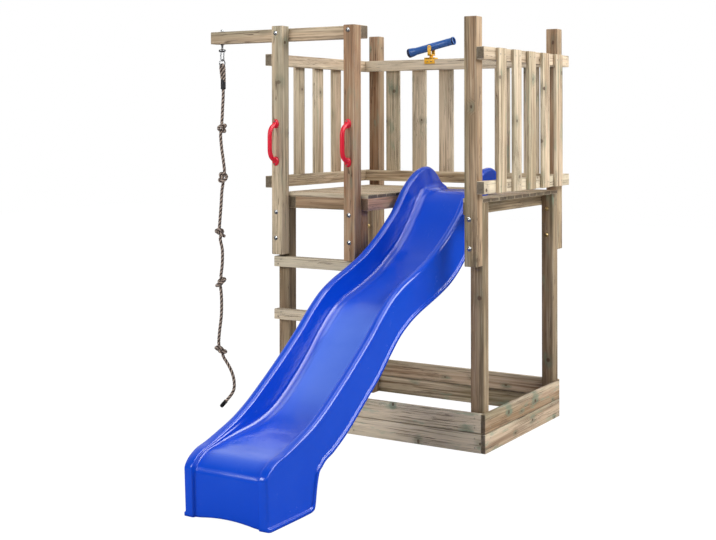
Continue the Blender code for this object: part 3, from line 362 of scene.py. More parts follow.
def sleeve_finish(name):
    """Black rubbery sleeve with the rope's lay showing through as low ridges."""
    look = Finish(name)
    place = look.place()
    x, y, z = look.parts(place)
    ridges = (z * 420 + x * 190 + y * 120).wave()
    grit = look.noise(place, 600, 3)
    look.set(Base_Color=look.mix(grit.between(0.4, 0.8), (0.012, 0.012, 0.014), (0.055, 0.055, 0.06)))
    look.set(Roughness=grit * 0.3 + 0.42)
    look.bump(ridges * 0.6 + grit * 0.5, 0.0008, 0.7)
    return look.material


# The paler blue of the slide floor's patch: painted sheen of overhead light, together with rub wear.
SHEEN_AND_RUB_BLUE = (0.110, 0.225, 0.80)
SLIDE_BLUE = moulded_finish(
    "slide_plastic", (0.0014, 0.064, 0.60), (0.003, 0.078, 0.66), 0.18, 0.03, sheen_and_rub=SHEEN_AND_RUB_BLUE
)
HANDLE_RED = moulded_finish("handle_plastic", (0.74, 0.006, 0.030), (0.80, 0.02, 0.05), 0.33, 0.15)
TELESCOPE_NAVY = moulded_finish("navy_plastic", (0.026, 0.104, 0.35), (0.040, 0.134, 0.43), 0.30, 0.12)
TELESCOPE_DARK = moulded_finish("navy_rim_plastic", (0.003, 0.010, 0.05), (0.006, 0.018, 0.08), 0.35)
TELESCOPE_YELLOW = moulded_finish("yellow_plastic", (0.90, 0.46, 0.02), (0.93, 0.56, 0.07), 0.38, 0.15)
BLACK_CAP = moulded_finish("black_plastic", (0.010, 0.010, 0.012), (0.03, 0.03, 0.032), 0.42)
BRIGHT_STEEL = steel_finish("galvanised_steel", (0.62, 0.64, 0.66), (0.34, 0.35, 0.37))
YELLOW_ZINC = steel_finish("yellow_zinc_steel", (0.86, 0.66, 0.30), (0.62, 0.44, 0.20))
SCREW_STEEL = steel_finish("dull_screw_steel", (0.42, 0.38, 0.32), (0.20, 0.17, 0.14))
BROWN_ROPE = rope_finish("rope_fibre", (0.034, 0.019, 0.016), (0.46, 0.36, 0.295))
BLACK_SLEEVE = sleeve_finish("black_sleeve")


def lens_finish():
    look = Finish("lens_plastic", Transmission_Weight=0.85, IOR=1.45)
    haze = look.noise(look.place(), 200, 2)
    look.set(Base_Color=look.mix(haze, (0.55, 0.62, 0.70), (0.75, 0.80, 0.85)), Roughness=haze * 0.1 + 0.03)
    return look.material


LENS = lens_finish()


# Mesh helpers


def piece(name, mesh, finish, body, replaced=()):
    """Adds one piece to the object."""
    obj = bpy.data.objects.new(name, mesh)
    SCENE.collection.objects.link(obj)
    mesh.materials.append(finish)
    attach(obj, body)
    if replaced:
        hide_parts(*replaced)
    return obj


def mesh_of(name, build, sharp=40):
    """A smooth mesh, with the edges that turn more than sharp degrees kept crisp."""
    mesh = bpy.data.meshes.new(name)
    bm = bmesh.new()
    build(bm)
    bm.to_mesh(mesh)
    bm.free()
    mesh.shade_smooth()
    mesh.set_sharp_from_angle(angle=math.radians(sharp))
    return mesh


def built(name, build, finish, body, replaced=(), sharp=40):
    """Adds one piece whose mesh is built by a function."""
    return piece(name, mesh_of(name, build, sharp=sharp), finish, body, replaced)


def store(mesh, name, kind, values):
    """Stores a value or a vector on each point, for the finish to read."""
    attribute = mesh.attributes.new(name, kind, "POINT")
    field = "vector" if kind == "FLOAT_VECTOR" else "value"
    attribute.data.foreach_set(field, np.asarray(values, np.float32).ravel())


def turned(bm, place, axis, outline, steps=32):
    """A turned shape: outline is (distance along the axis, radius) from one end to the other."""
    aim = Vector((0, 0, 1)).rotation_difference(axis.normalized()).to_matrix()
    rings = []
    for along, radius in outline:
        ring = []
        for step in range(steps if radius else 1):
            turn = 2 * math.pi * step / steps
            spot = Vector((radius * math.cos(turn), radius * math.sin(turn), along))
            ring.append(bm.verts.new(place + aim @ spot))
        rings.append(ring)
    join_rings(bm, rings, steps)


def join_rings(bm, rings, steps):
    """Faces from each ring of points to the next; a ring of one point is a tip."""
    for low, high in zip(rings, rings[1:]):
        for k in range(steps):
            after = (k + 1) % steps
            if len(low) == 1:
                bm.faces.new((low[0], high[after], high[k]))
            elif len(high) == 1:
                bm.faces.new((low[k], low[after], high[0]))
            else:
                bm.faces.new((low[k], low[after], high[after], high[k]))


def frames_along(path):
    """Two directions across a path at each of its points, carried along without twist."""
    ahead = np.gradient(path, axis=0)
    ahead /= np.linalg.norm(ahead, axis=1)[:, None]
    first = np.cross(ahead[0], (0.31, 0.95, 0.1))
    sides = [first / np.linalg.norm(first)]
    for way in ahead[1:]:
        side = sides[-1] - way * np.dot(sides[-1], way)
        sides.append(side / np.linalg.norm(side))
    sides = np.array(sides)
    return sides, np.cross(ahead, sides)


def close_tube(bm, rings, steps):
    """Walls and two flat ends for a tube's rings of points."""
    join_rings(bm, rings, steps)
    bm.faces.new(rings[0][::-1])
    bm.faces.new(rings[-1])


def swept(bm, path, radii, steps=24):
    """A closed round tube along a path; radii is one for each point."""
    path = np.array([tuple(p) for p in path], float)
    first, second = frames_along(path)
    turns = np.linspace(0, 2 * math.pi, steps, endpoint=False)
    rings = []
    for k, radius in enumerate(radii):
        ring = path[k] + radius * (np.cos(turns)[:, None] * first[k] + np.sin(turns)[:, None] * second[k])
        rings.append([bm.verts.new(p) for p in ring])
    close_tube(bm, rings, steps)


def block(bm, low, high, edge=0.0, segments=2):
    """A box with rounded edges."""
    low, high = Vector(low), Vector(high)
    made = bmesh.ops.create_cube(bm, size=1)["verts"]
    bmesh.ops.scale(bm, vec=high - low, verts=made)
    bmesh.ops.translate(bm, vec=(low + high) / 2, verts=made)
    if edge:
        edges = list({e for v in made for e in v.link_edges})
        bmesh.ops.bevel(bm, geom=edges, offset=edge, segments=segments, profile=0.5, affect="EDGES")


def smooth_line(points):
    """A function that reads a smooth curve through (place, value) points, with no added humps."""
    places, values = np.array(points, float).T
    steps = np.diff(places)
    rises = np.diff(values) / steps
    slopes = np.empty(len(places))
    slopes[0], slopes[-1] = rises[0], rises[-1]
    slopes[1:-1] = (rises[:-1] * steps[1:] + rises[1:] * steps[:-1]) / (steps[:-1] + steps[1:])
    for i in range(1, len(places) - 1):
        if rises[i - 1] * rises[i] <= 0:
            slopes[i] = 0
        else:
            limit = 3 * min(abs(rises[i - 1]), abs(rises[i]))
            slopes[i] = math.copysign(min(abs(slopes[i]), limit), slopes[i])

    def read(place):
        i = np.clip(np.searchsorted(places, place) - 1, 0, len(steps) - 1)
        t = (place - places[i]) / steps[i]
        start = (1 + 2 * t) * (1 - t) ** 2 * values[i] + t * (1 - t) ** 2 * steps[i] * slopes[i]
        end = t * t * (3 - 2 * t) * values[i + 1] + t * t * (t - 1) * steps[i] * slopes[i + 1]
        return start + end

    return read


# The climbing rope, whose route repeats the solid's: (distance right of the hanger, drop below the sleeve)

HANGER_X = -0.428
HANGER_Y = 0.0353
ROPE_TOP = 1.8837
ROPE_DIAMETER = 0.017
ROPE_ROUTE = [
    (0.0065, 0.000), (0.0065, 0.030), (0.002, 0.097), (-0.005, 0.193), (-0.011, 0.226), (-0.014, 0.259),
    (-0.009, 0.321), (0.009, 0.433), (0.015, 0.475), (0.017, 0.515), (0.003, 0.555), (-0.011, 0.677),
    (-0.022, 0.791), (-0.027, 0.839), (-0.018, 0.878), (-0.001, 0.945), (-0.003, 1.025), (-0.014, 1.093),
    (-0.019, 1.129), (-0.013, 1.171), (-0.008, 1.249), (-0.011, 1.332), (-0.024, 1.417), (-0.030, 1.484),
    (-0.021, 1.524), (-0.006, 1.550), (0.050, 1.618), (0.082, 1.692), (0.084, 1.734), (0.055, 1.786),
    (0.019, 1.823),
]
# Drop of each knot, and how far it is turned about the rope
KNOTS = [(0.226, 2.3), (0.515, 5.2), (0.839, 1.4), (1.129, 3.9), (1.524, 0.6)]
KNOT_TAIL = 0.038
ROPE_LAY = 0.052
ROPE_STRANDS = 4
STRAND_CROWN = 1.12
STRAND_DEPTH = 0.30
ROUTE_STEP = 0.012
ROPE_STEP = 0.0032


def resample(path, count):
    """The same line with its points evenly apart."""
    steps = np.linalg.norm(np.diff(path, axis=0), axis=1)
    along = np.concatenate([[0], np.cumsum(steps)])
    places = np.linspace(0, along[-1], count)
    return np.stack([np.interp(places, along, path[:, k]) for k in range(3)], axis=1)


def eased(line, rounds):
    """A line with its small corners smoothed away, and its ends where they were."""
    for _ in range(rounds):
        line[1:-1] = (line[:-2] + 2 * line[1:-1] + line[2:]) / 4
    return line


def tied_knot(thickness, tail, count=84, rounds=420):
    """The line of an overhand knot about Z: a loose one, pulled tight until the rope touches itself."""
    t = np.linspace(-2.02, 2.02, count)
    crossing, lobes, rise = t**3 - 3 * t, t**4 - 4 * t**2 + 2, t**5 - 10 * t
    loose = np.stack([crossing * 0.008, lobes * 0.009, rise * 0.0027], axis=1)
    path = resample(np.concatenate([[[0, 0, -tail]], loose, [[0, 0, tail]]]), count)
    order = np.arange(count)
    for turn in range(rounds):
        middle = (path[:-2] + path[2:]) / 2
        path[1:-1] += 0.25 * (middle - path[1:-1])
        spacing = np.linalg.norm(np.diff(path, axis=0), axis=1).mean()
        apart = np.abs(np.subtract.outer(order, order)) * spacing
        for _ in range(3):
            gaps = path[:, None] - path[None]
            far = np.linalg.norm(gaps, axis=2) + 1e-9
            near = (far < thickness) & (apart > 1.6 * thickness)
            push = np.where(near, (thickness - far) / far, 0)[..., None] * gaps
            shift = push.sum(axis=1) / np.maximum(near.sum(axis=1), 1)[:, None]
            path[1:-1] += 0.5 * shift[1:-1]
        if turn % 10 == 9:
            path = resample(path, count)
    return path


def rope_line():
    """The rope's middle line from the sleeve to the cap, through its five knots."""
    across = smooth_line([(drop, x) for x, drop in ROPE_ROUTE])
    end = ROPE_ROUTE[-1][1]
    knot = tied_knot(ROPE_DIAMETER * 1.16, KNOT_TAIL)
    line = []
    start = 0.0
    for drop, turn in [*KNOTS, (end + KNOT_TAIL, 0)]:
        stop = min(drop - KNOT_TAIL, end)
        last = stop == end
        places = np.linspace(start, stop, max(3, int((stop - start) / ROUTE_STEP)), endpoint=True)
        line += [(float(across(place)), 0.0, -place) for place in (places if last else places[:-1])]
        if last:
            break
        high = np.array((float(across(drop - KNOT_TAIL)), 0, -(drop - KNOT_TAIL)))
        low = np.array((float(across(drop + KNOT_TAIL)), 0, -(drop + KNOT_TAIL)))
        tilt = Vector((0, 0, -1)).rotation_difference(Vector(low - high)).to_matrix()
        spin = np.array(tilt @ Matrix.Rotation(turn, 3, "Z"))
        half = np.linalg.norm(low - high) / 2 / KNOT_TAIL
        for point in knot[:-1] * (1, 1, -half):
            line.append(tuple((high + low) / 2 + spin @ point))
        start = drop + KNOT_TAIL
    line = eased(np.array(line), 2)
    length = np.linalg.norm(np.diff(line, axis=0), axis=1).sum()
    line = resample(line, int(length / ROPE_STEP))
    return line + np.array(at(HANGER_X, HANGER_Y, ROPE_TOP)), length


def laid_rope(name, path, diameter, lay=ROPE_LAY, phase=0.0, steps=32):
    """A closed mesh of laid strands round a path, with the attributes that its finish reads."""
    path = np.asarray(path, float)
    first, second = frames_along(path)
    run = np.concatenate([[0], np.cumsum(np.linalg.norm(np.diff(path, axis=0), axis=1))])
    turns = np.linspace(0, 2 * math.pi, steps, endpoint=False)
    twist = 2 * math.pi * run[:, None] / lay + phase
    place = (turns[None] - twist) * ROPE_STRANDS / (2 * math.pi)
    crown = np.abs(np.sin(np.pi * place)) ** 0.75
    radius = diameter / 2 * (STRAND_CROWN - STRAND_DEPTH * (1 - crown))
    around = np.cos(turns)[None, :, None] * first[:, None] + np.sin(turns)[None, :, None] * second[:, None]
    points = path[:, None] + radius[..., None] * around
    strand = (np.floor(place).astype(int) % 2).astype(float)

    def build(bm):
        close_tube(bm, [[bm.verts.new(p) for p in ring] for ring in points], steps)

    mesh = mesh_of(name, build, sharp=80)
    run = run[:, None] + 0 * place
    yarn = np.stack([place * 5.5 + run * 60, place * 5.5 - run * 60, run * 25], axis=2)
    store(mesh, "strand", "FLOAT", strand)
    store(mesh, "crown", "FLOAT", crown)
    store(mesh, "run", "FLOAT_VECTOR", yarn)
    return mesh


def make_cap():
    """The black cap on the rope's end, in the place of its solid."""
    end, before = ROPE_PATH[-1], ROPE_PATH[-8]
    way = Vector(end - before).normalized()
    outline = [
        (-0.006, 0), (-0.006, 0.0108), (-0.004, 0.0120), (0.001, 0.0123), (0.003, 0.0114), (0.037, 0.0118),
        (0.0425, 0.0104), (0.0455, 0.0065), (0.0458, 0),
    ]

    def build(bm):
        turned(bm, Vector(end), way, outline)

    return built("rope_cap", build, BLACK_CAP, "climbing_rope", ["rope_end_cap"], 60)


def make_rope():
    mesh = laid_rope("knotted_rope", ROPE_PATH, ROPE_DIAMETER)
    rope = piece("knotted_rope", mesh, BROWN_ROPE, "climbing_rope", ["climbing_rope"])
    tuple(at(HANGER_X + ROPE_ROUTE[0][0], HANGER_Y, ROPE_TOP))
    make_cap()


ROPE_PATH, MEASURED_ROPE = rope_line()
print("rope's middle line:", round(MEASURED_ROPE, 3), "m")
make_rope()


# Timber, each piece a rounded bar cut from its own place in a trunk

SEED = 7
# For each kind of piece: how green, how dark and how red its wood is; the legs are darker partly from their
# wood and partly as painted shade from the deck above them
STAINS = {
    "sandbox": 0.95, "slat_back": 0.80, "slat_right": 0.70, "slat_left": 0.60, "leg": 0.50, "post": 0.50,
    "deck": 0.20,
}
TONES_AND_LEG_SHADE = {
    "rung": -0.10, "joist_middle": 0.20, "joist": 0.74, "post_front_left": 0.34, "post_front_middle": 0.70,
    # The legs' darkness is partly painted shade from the deck above them.
    "post_front_right": 0.66, "post_back": 0.78, "leg_front_middle": 0.74, "leg": 0.82,
    "rail_back_lower": 0.46, "rail_back": -0.08, "rail_left": 0.24, "rail": 0.16, "slat_right": 0.30,
    "slat_left": 0.38, "slat": 0.10, "sandbox_front": -0.04, "sandbox_back": 0.56, "sandbox": 0.44,
    "rope_beam": 0.36, "deck": 0.34,
}
REDS = {
    "joist_middle": 1.6, "post_front_middle": 0.55, "leg_front_middle": 0.65, "leg_front_right": 0.10,
    "slat_back_4": 0.30, "slat_left_4": 0.2, "post_back_left": 0.15,
}
# Pieces sawn from the side of a trunk, with the pith outside them
BOARDS = ("slat", "rail", "sandbox", "deck", "rung", "joist")
BOARD_SHIFT = 0.022
BOARD_FROM_PITH = (0.024, 0.060)
POST_SHIFT = 0.030
GRAIN_LEAN = 0.012
# Where along a trunk a piece may be cut, in metres
TRUNK_SPAN = (2, 90)
# How far pieces of one kind differ
TONE_SPREAD = 0.08
SLAT_TONE_SPREAD = 0.16
STAIN_SPREAD = (0.5, 1.2)
RED_SPREAD = (-0.3, 0.2)


def lookup(table, name, other):
    """The value of the first kind that a name begins with."""
    for key, value in table.items():
        if name.startswith(key):
            return value
    return other


def timber_mesh(name, low, high, axis, edge, kind):
    """A rounded bar along an axis, with its grain lines and weathering stored on its points."""
    chance = random.Random(f"{SEED} {name}")
    mesh = mesh_of(name, lambda bm: block(bm, low, high, edge, 3), sharp=50)
    points = np.empty(len(mesh.vertices) * 3, np.float32)
    mesh.vertices.foreach_get("co", points)
    points = points.reshape(-1, 3)
    low, high = np.array(low), np.array(high)
    others = [k for k in range(3) if k != axis]
    if high[others[0]] - low[others[0]] < high[others[1]] - low[others[1]]:
        others.reverse()
    wide, thick = others
    middle = (low + high) / 2
    side = points[:, wide] - middle[wide]
    face = points[:, thick] - middle[thick]
    if kind.startswith(BOARDS):
        side = side + chance.uniform(-BOARD_SHIFT, BOARD_SHIFT)
        face = face + chance.choice((-1, 1)) * chance.uniform(*BOARD_FROM_PITH)
    else:
        side = side + chance.uniform(-POST_SHIFT, POST_SHIFT)
        face = face + chance.uniform(-POST_SHIFT, POST_SHIFT)
    lean = chance.uniform(-GRAIN_LEAN, GRAIN_LEAN)
    away = points[:, axis] - middle[axis]
    along = away + chance.uniform(*TRUNK_SPAN)
    grain = np.stack([along, side + away * lean, face + away * lean * 0.6], axis=1)
    extreme = (np.abs(points - low) < 1e-5) | (np.abs(points - high) < 1e-5)
    count = len(points)
    spread = SLAT_TONE_SPREAD if kind.startswith("slat") else TONE_SPREAD
    tone = lookup(TONES_AND_LEG_SHADE, kind, 0.5) + chance.uniform(-spread, spread)
    stain = lookup(STAINS, kind, 0.15) * chance.uniform(*STAIN_SPREAD)
    red = lookup(REDS, kind, 0) + max(0, chance.uniform(*RED_SPREAD))
    store(mesh, "grain", "FLOAT_VECTOR", grain)
    store(mesh, "tone", "FLOAT", [tone] * count)
    store(mesh, "stain", "FLOAT", [stain] * count)
    store(mesh, "red", "FLOAT", [red] * count)
    store(mesh, "worn", "FLOAT", 1 - extreme.any(axis=1))
    store(mesh, "end", "FLOAT", extreme[:, axis])
    return mesh


def timber(name, low, high, axis, slot, edge, kind, replaced=()):
    mesh = timber_mesh(name, low, high, axis, edge, kind)
    return piece(name, mesh, WOODS[slot], "tower", replaced)


def make_timbers():
    """The frame's bars, each in the place of its solid."""
    kinds = [
        ("leg_", 2, "treated_pine", 0.0040), ("post_", 2, "treated_pine", 0.0040),
        ("joist_", 1, "treated_pine", 0.0030), ("rung_", 0, "treated_pine", 0.0040),
        ("sandbox_front", 0, "sandbox_pine", 0.0035), ("sandbox_back", 0, "sandbox_pine", 0.0035),
        ("sandbox_", 1, "sandbox_pine", 0.0035), ("rail_back", 0, "fence_pine", 0.0030),
        ("rail_", 1, "fence_pine", 0.0030), ("slat_", 2, "fence_pine", 0.0030),
    ]
    for node in sorted(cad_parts):
        for start, axis, slot, edge in kinds:
            if node.startswith(start):
                low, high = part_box(node)
                timber(f"sawn_{node}", low, high, axis, slot, edge, node, [node])
                break


DECK_BOARDS = 10
DECK_GAP = 0.005
# Front boards that stop at the slide's bay, and two corners of the short joist in the ladder's bay
SHORT_ROWS = 5
BAY_JOIST = ((0.1136, 0.0, 1.2117), (0.4743, 0.043, 1.2767))
JOIST_LINES = (0.0918, 0.5664, 1.1792)


def make_deck():
    """Ten boards, the front five of them cut short for the slide, and the short joist by the ladder."""
    low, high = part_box("deck")
    pitch = (high.y - low.y) / DECK_BOARDS
    bay_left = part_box("joist_middle")[1].x
    bay_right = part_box("joist_right")[0].x
    for row in range(DECK_BOARDS):
        front = low.y + row * pitch + (DECK_GAP / 2 if row else 0)
        back = low.y + (row + 1) * pitch - (DECK_GAP / 2 if row < DECK_BOARDS - 1 else 0)
        spans = [(low.x, high.x)] if row >= SHORT_ROWS else [(low.x, bay_left), (bay_right, high.x)]
        for part, (left, right) in enumerate(spans):
            name = f"deck_board_{row + 1}" + ("_right" if part else "")
            start, stop = (left, front, low.z), (right, back, high.z)
            replaced = [] if row or part else ["deck"]
            timber(name, start, stop, 0, "deck_pine", 0.0025, "deck", replaced)
    low, high = (at(*corner) for corner in BAY_JOIST)
    timber("ladder_bay_joist", low, high, 0, "treated_pine", 0.003, "joist")


def make_rope_beam():
    low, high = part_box("rope_beam")
    timber("sawn_rope_beam", low, high, 0, "treated_pine", 0.004, "rope_beam", ["rope_beam"])


# Fasteners

WASHER_OUTLINE = [
    (-0.001, 0), (-0.001, 0.0110), (0.0004, 0.0124), (0.0018, 0.0124), (0.0024, 0.0116), (0.0026, 0.0085),
]
DOME_OUTLINE = [
    (0.0022, 0.0088), (0.0034, 0.0090), (0.0052, 0.0081), (0.0068, 0.0058), (0.0077, 0.0030), (0.0080, 0),
]
NUT_OUTLINE = [(0.002, 0.0100), (0.0022, 0.0108), (0.0100, 0.0108), (0.0112, 0.0096), (0.0112, 0.005)]
BOLT_END_OUTLINE = [(0.0105, 0.0052), (0.0150, 0.0052), (0.0158, 0.0044), (0.0158, 0)]
SCREW_OUTLINE = [
    (-0.0015, 0), (-0.0015, 0.0042), (0.0002, 0.0044), (0.0006, 0.0040), (0.0005, 0.0018), (-0.0004, 0.0012),
    (-0.0006, 0),
]
# Bolts through the laps of posts and legs, and through the rope beam above them, at (X, Z)
COACH_BOLTS = {
    "post_front_left": [(0.026, 2.189), (0.030, 1.190), (0.028, 1.045)],
    "post_front_middle": [(0.504, 2.189), (0.508, 1.189), (0.509, 1.041)],
    "post_front_right": [(1.229, 1.195), (1.231, 1.046)],
}
BACK_BOLTS = {
    "leg_back_right": [(1.233, 1.190), (1.232, 1.040)],
    "leg_back_left": [(0.038, 1.190), (0.037, 1.040)],
}
BEAM_BOLTS_ABOVE = 2.0


def make_bolts():
    def heads(bolts):
        def build(bm):
            for node, places in bolts.items():
                for x, z in places:
                    place = Vector((at(x, 0, z).x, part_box(node)[0].y, z))
                    turned(bm, place, -Y, WASHER_OUTLINE, 28)
                    turned(bm, place, -Y, DOME_OUTLINE, 28)

        return build

    def nuts(bm):
        """Nuts on the far side of each lap and behind the rope beam."""
        for bolts, far_piece in ((COACH_BOLTS, "leg_front_left"), (BACK_BOLTS, "post_back_right")):
            for x, z in (place for places in bolts.values() for place in places):
                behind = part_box("rope_beam" if z > BEAM_BOLTS_ABOVE else far_piece)[1].y
                place = Vector((at(x, 0, z).x, behind, z))
                turned(bm, place, Y, WASHER_OUTLINE, 28)
                turned(bm, place, Y, NUT_OUTLINE, 6)
                turned(bm, place, Y, BOLT_END_OUTLINE, 20)

    built("coach_bolts", heads(COACH_BOLTS), BRIGHT_STEEL, "tower", sharp=35)
    built("back_leg_bolts", heads(BACK_BOLTS), YELLOW_ZINC, "tower", sharp=35)
    built("lap_nuts", nuts, BRIGHT_STEEL, "tower", sharp=30)


LEG_MIDDLES_X = (0.035, 0.5096, 1.236)
LEG_MIDDLES_Y = (0.035, 0.935)
RAIL_SCREWS_IN = 0.035
# Half the distance between the two screws of a pair
SLAT_PAIR = 0.026
RUNG_PAIR = Vector((0.0104, 0, 0.013))
BOARD_PAIR = 0.024
RAIL_PAIR = 0.014
WAYS_OUT = {"left": -X, "right": X, "front": -Y, "back": Y}


def screw_pairs():
    """Each pair of screws: its middle, the way that the heads face, and each one's shift from the middle."""
    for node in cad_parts:
        low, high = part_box(node)
        kind, side = (node.split("_") + [""])[:2]
        way = WAYS_OUT.get(side, -Y)
        middle, half = (low + high) / 2, (high - low) / 2
        face = middle + Vector((way.x * half.x, way.y * half.y, 0))
        places, shift = [], Z * BOARD_PAIR
        if kind == "slat":
            shift = (Y if way.x else X) * SLAT_PAIR
            rails = [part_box(f"rail_{side}_{level}") for level in ("lower", "upper")]
            places = [(face.x, face.y, (rail[0].z + rail[1].z) / 2) for rail in rails]
        elif kind == "rung":
            shift = RUNG_PAIR
            places = [(at(x, 0, 0).x, face.y, face.z) for x in LEG_MIDDLES_X[:2]]
        elif kind == "sandbox" and way.y:
            places = [(at(x, 0, 0).x, face.y, face.z) for x in LEG_MIDDLES_X]
        elif kind == "sandbox":
            places = [(face.x, at(0, y, 0).y, face.z) for y in LEG_MIDDLES_Y]
        elif kind == "rail" and way.x:
            shift = Z * RAIL_PAIR
            places = [(face.x, y, face.z) for y in (low.y + RAIL_SCREWS_IN, high.y - RAIL_SCREWS_IN)]
        for place in places:
            yield Vector(place), way, shift
    low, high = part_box("deck")
    pitch = (high.y - low.y) / DECK_BOARDS
    for row in range(DECK_BOARDS):
        for x in JOIST_LINES:
            yield Vector((at(x, 0, 0).x, low.y + (row + 0.5) * pitch, high.z)), Z, Y * BOARD_PAIR


def make_screws():
    def build(bm):
        for middle, way, shift in screw_pairs():
            for place in (middle - shift, middle + shift):
                turned(bm, place, way, SCREW_OUTLINE, 12)

    built("wood_screws", build, SCREW_STEEL, "tower", sharp=30)


# The slide, whose lines repeat the solid's, in (Y, Z), and whose section is drawn finer

SLIDE_X = 0.8421
SLIDE_HALF_WIDTH = 0.2205
# The thicker band along the lower edge: (distance from the edge, share of its thickness)
SLIDE_BAND = 0.0085
BAND_STEPS = [
    (0.0, 1.0), (0.010, 1.0), (0.0125, 0.97), (0.0145, 0.80), (0.0165, 0.40), (0.0185, 0.10), (0.0205, 0.0),
]
BAND_SHARE = 0.42
SLIDE_WALL = 0.005
RIM_WIDTH = 0.046
RIM_RADIUS = 0.018
FLOOR_FILLET = 0.046
WALL_LEAN = 0.12
LIP_ROLL = 0.022
RIM_ROLL = 0.010
APRON_INSET = 0.017
APRON_ARCH = 0.013
APRON_HALF = 0.150
COLUMN_ROUND = 0.014
FOOT_REACH = 0.150
FOOT_RAKE = 0.010
APRON_RAKE = 0.006
SLIDE_FRONT = -1.600
DECK_EDGE = 0.494
LIP_END = 0.690
WING_END = 0.760
RIM_LINE = [
    (-1.600, 0.216), (-1.575, 0.243), (-1.530, 0.270), (-1.450, 0.293), (-1.350, 0.328), (-1.250, 0.366),
    (-1.150, 0.417), (-1.050, 0.479), (-0.900, 0.579), (-0.750, 0.688), (-0.650, 0.770), (-0.550, 0.841),
    (-0.450, 0.889), (-0.300, 0.941), (-0.150, 0.998), (-0.050, 1.049), (0.040, 1.102), (0.120, 1.158),
    (0.190, 1.212), (0.240, 1.264), (0.290, 1.316), (0.335, 1.352), (0.420, 1.403), (0.500, 1.430),
    (0.550, 1.436), (0.600, 1.424), (0.647, 1.397), (0.704, 1.345), (0.760, 1.315),
]
FLOOR_LINE = [
    (-1.600, 0.205), (-1.565, 0.232), (-1.530, 0.252), (-1.420, 0.275), (-1.300, 0.290), (-1.150, 0.308),
    (-1.025, 0.350), (-0.900, 0.425), (-0.750, 0.540), (-0.620, 0.655), (-0.540, 0.715), (-0.431, 0.775),
    (-0.300, 0.815), (-0.150, 0.865), (-0.050, 0.908), (0.032, 0.955), (0.118, 1.005), (0.190, 1.060),
    (0.260, 1.125), (0.330, 1.200), (0.390, 1.258), (0.440, 1.290), (0.485, 1.3025), (0.600, 1.3025),
    (0.760, 1.3025),
]
LOWER_LINE = [
    (-1.600, 0.000), (-1.400, 0.000), (-1.300, 0.001), (-1.262, 0.006), (-1.246, 0.030), (-1.236, 0.090),
    (-1.222, 0.145), (-1.190, 0.182), (-1.100, 0.224), (-1.000, 0.276), (-0.900, 0.342), (-0.800, 0.412),
    (-0.700, 0.482), (-0.600, 0.568), (-0.500, 0.648), (-0.400, 0.702), (-0.300, 0.740), (-0.200, 0.770),
    (-0.064, 0.812), (0.040, 0.853), (0.120, 0.898), (0.200, 0.956), (0.300, 1.045), (0.400, 1.150),
    (0.455, 1.225), (0.484, 1.2976), (0.520, 1.2976), (0.760, 1.2976),
]
# How much of the paler patch the floor has at each Y, painted sheen of overhead light together with rub wear,
# and how far the patch reaches up and out from it
SHEEN_AND_RUB_LINE = [
    (-1.620, 0.00), (-1.570, 0.00), (-1.480, 0.45), (-1.380, 0.25), (-1.250, 0.00), (-1.120, 0.05),
    (-0.980, 0.55), (-0.860, 1.00), (-0.620, 1.00), (-0.500, 0.70), (-0.380, 0.12), (-0.200, 0.05),
    (0.000, 0.00), (0.800, 0.00),
]
SHEEN_RUB_HEIGHT = 0.012
SHEEN_RUB_FADE_UP = 0.010
SHEEN_RUB_HALF_WIDTH = 0.165
SHEEN_RUB_FADE_OUT = 0.045
HEEL_START = -1.30
HEEL_END = -1.18
ARC_STEPS = 7
FILLET_STEPS = 8
FLOOR_STEPS = 7
WALL_STEPS = 9


def slide_stations():
    """Places along the slide: close at the rolled front edge and behind the foot, wider elsewhere."""
    roll = [SLIDE_FRONT + LIP_ROLL * (1 - math.cos(turn)) for turn in np.linspace(0, math.pi / 2, 8)]
    rest = [*np.arange(SLIDE_FRONT + LIP_ROLL + 0.006, HEEL_START, 0.006)]
    rest += [*np.arange(HEEL_START, HEEL_END, 0.004), *np.arange(HEEL_END, 0.40, 0.008)]
    rest += [*np.arange(0.40, WING_END - 0.006, 0.008), WING_END]
    return sorted({round(float(y), 4) for y in roll + rest})


def rolled(drop, y, radius):
    """How far a line falls where it rolls over the front edge."""
    away = y - SLIDE_FRONT
    if away >= radius:
        return 0.0
    return drop * (1 - math.sqrt(max(0.0, 1 - (1 - away / radius) ** 2)))


def front_inset(x):
    """How far a point of the foot's front stands back: the apron lies between two rounded columns."""
    x = abs(x)
    inner = SLIDE_HALF_WIDTH - RIM_WIDTH
    if x < inner + 0.002:
        share = min(1.0, (inner + 0.002 - x) / 0.010)
        return APRON_INSET * share * share * (3 - 2 * share)
    past = min(COLUMN_ROUND, max(0.0, x - (SLIDE_HALF_WIDTH - COLUMN_ROUND)))
    return COLUMN_ROUND - math.sqrt(COLUMN_ROUND**2 - past**2)


def soft_low(*limits):
    """The lowest of some lengths, with a soft change from one to the next."""
    return sum(limit**-5 for limit in limits) ** -0.2


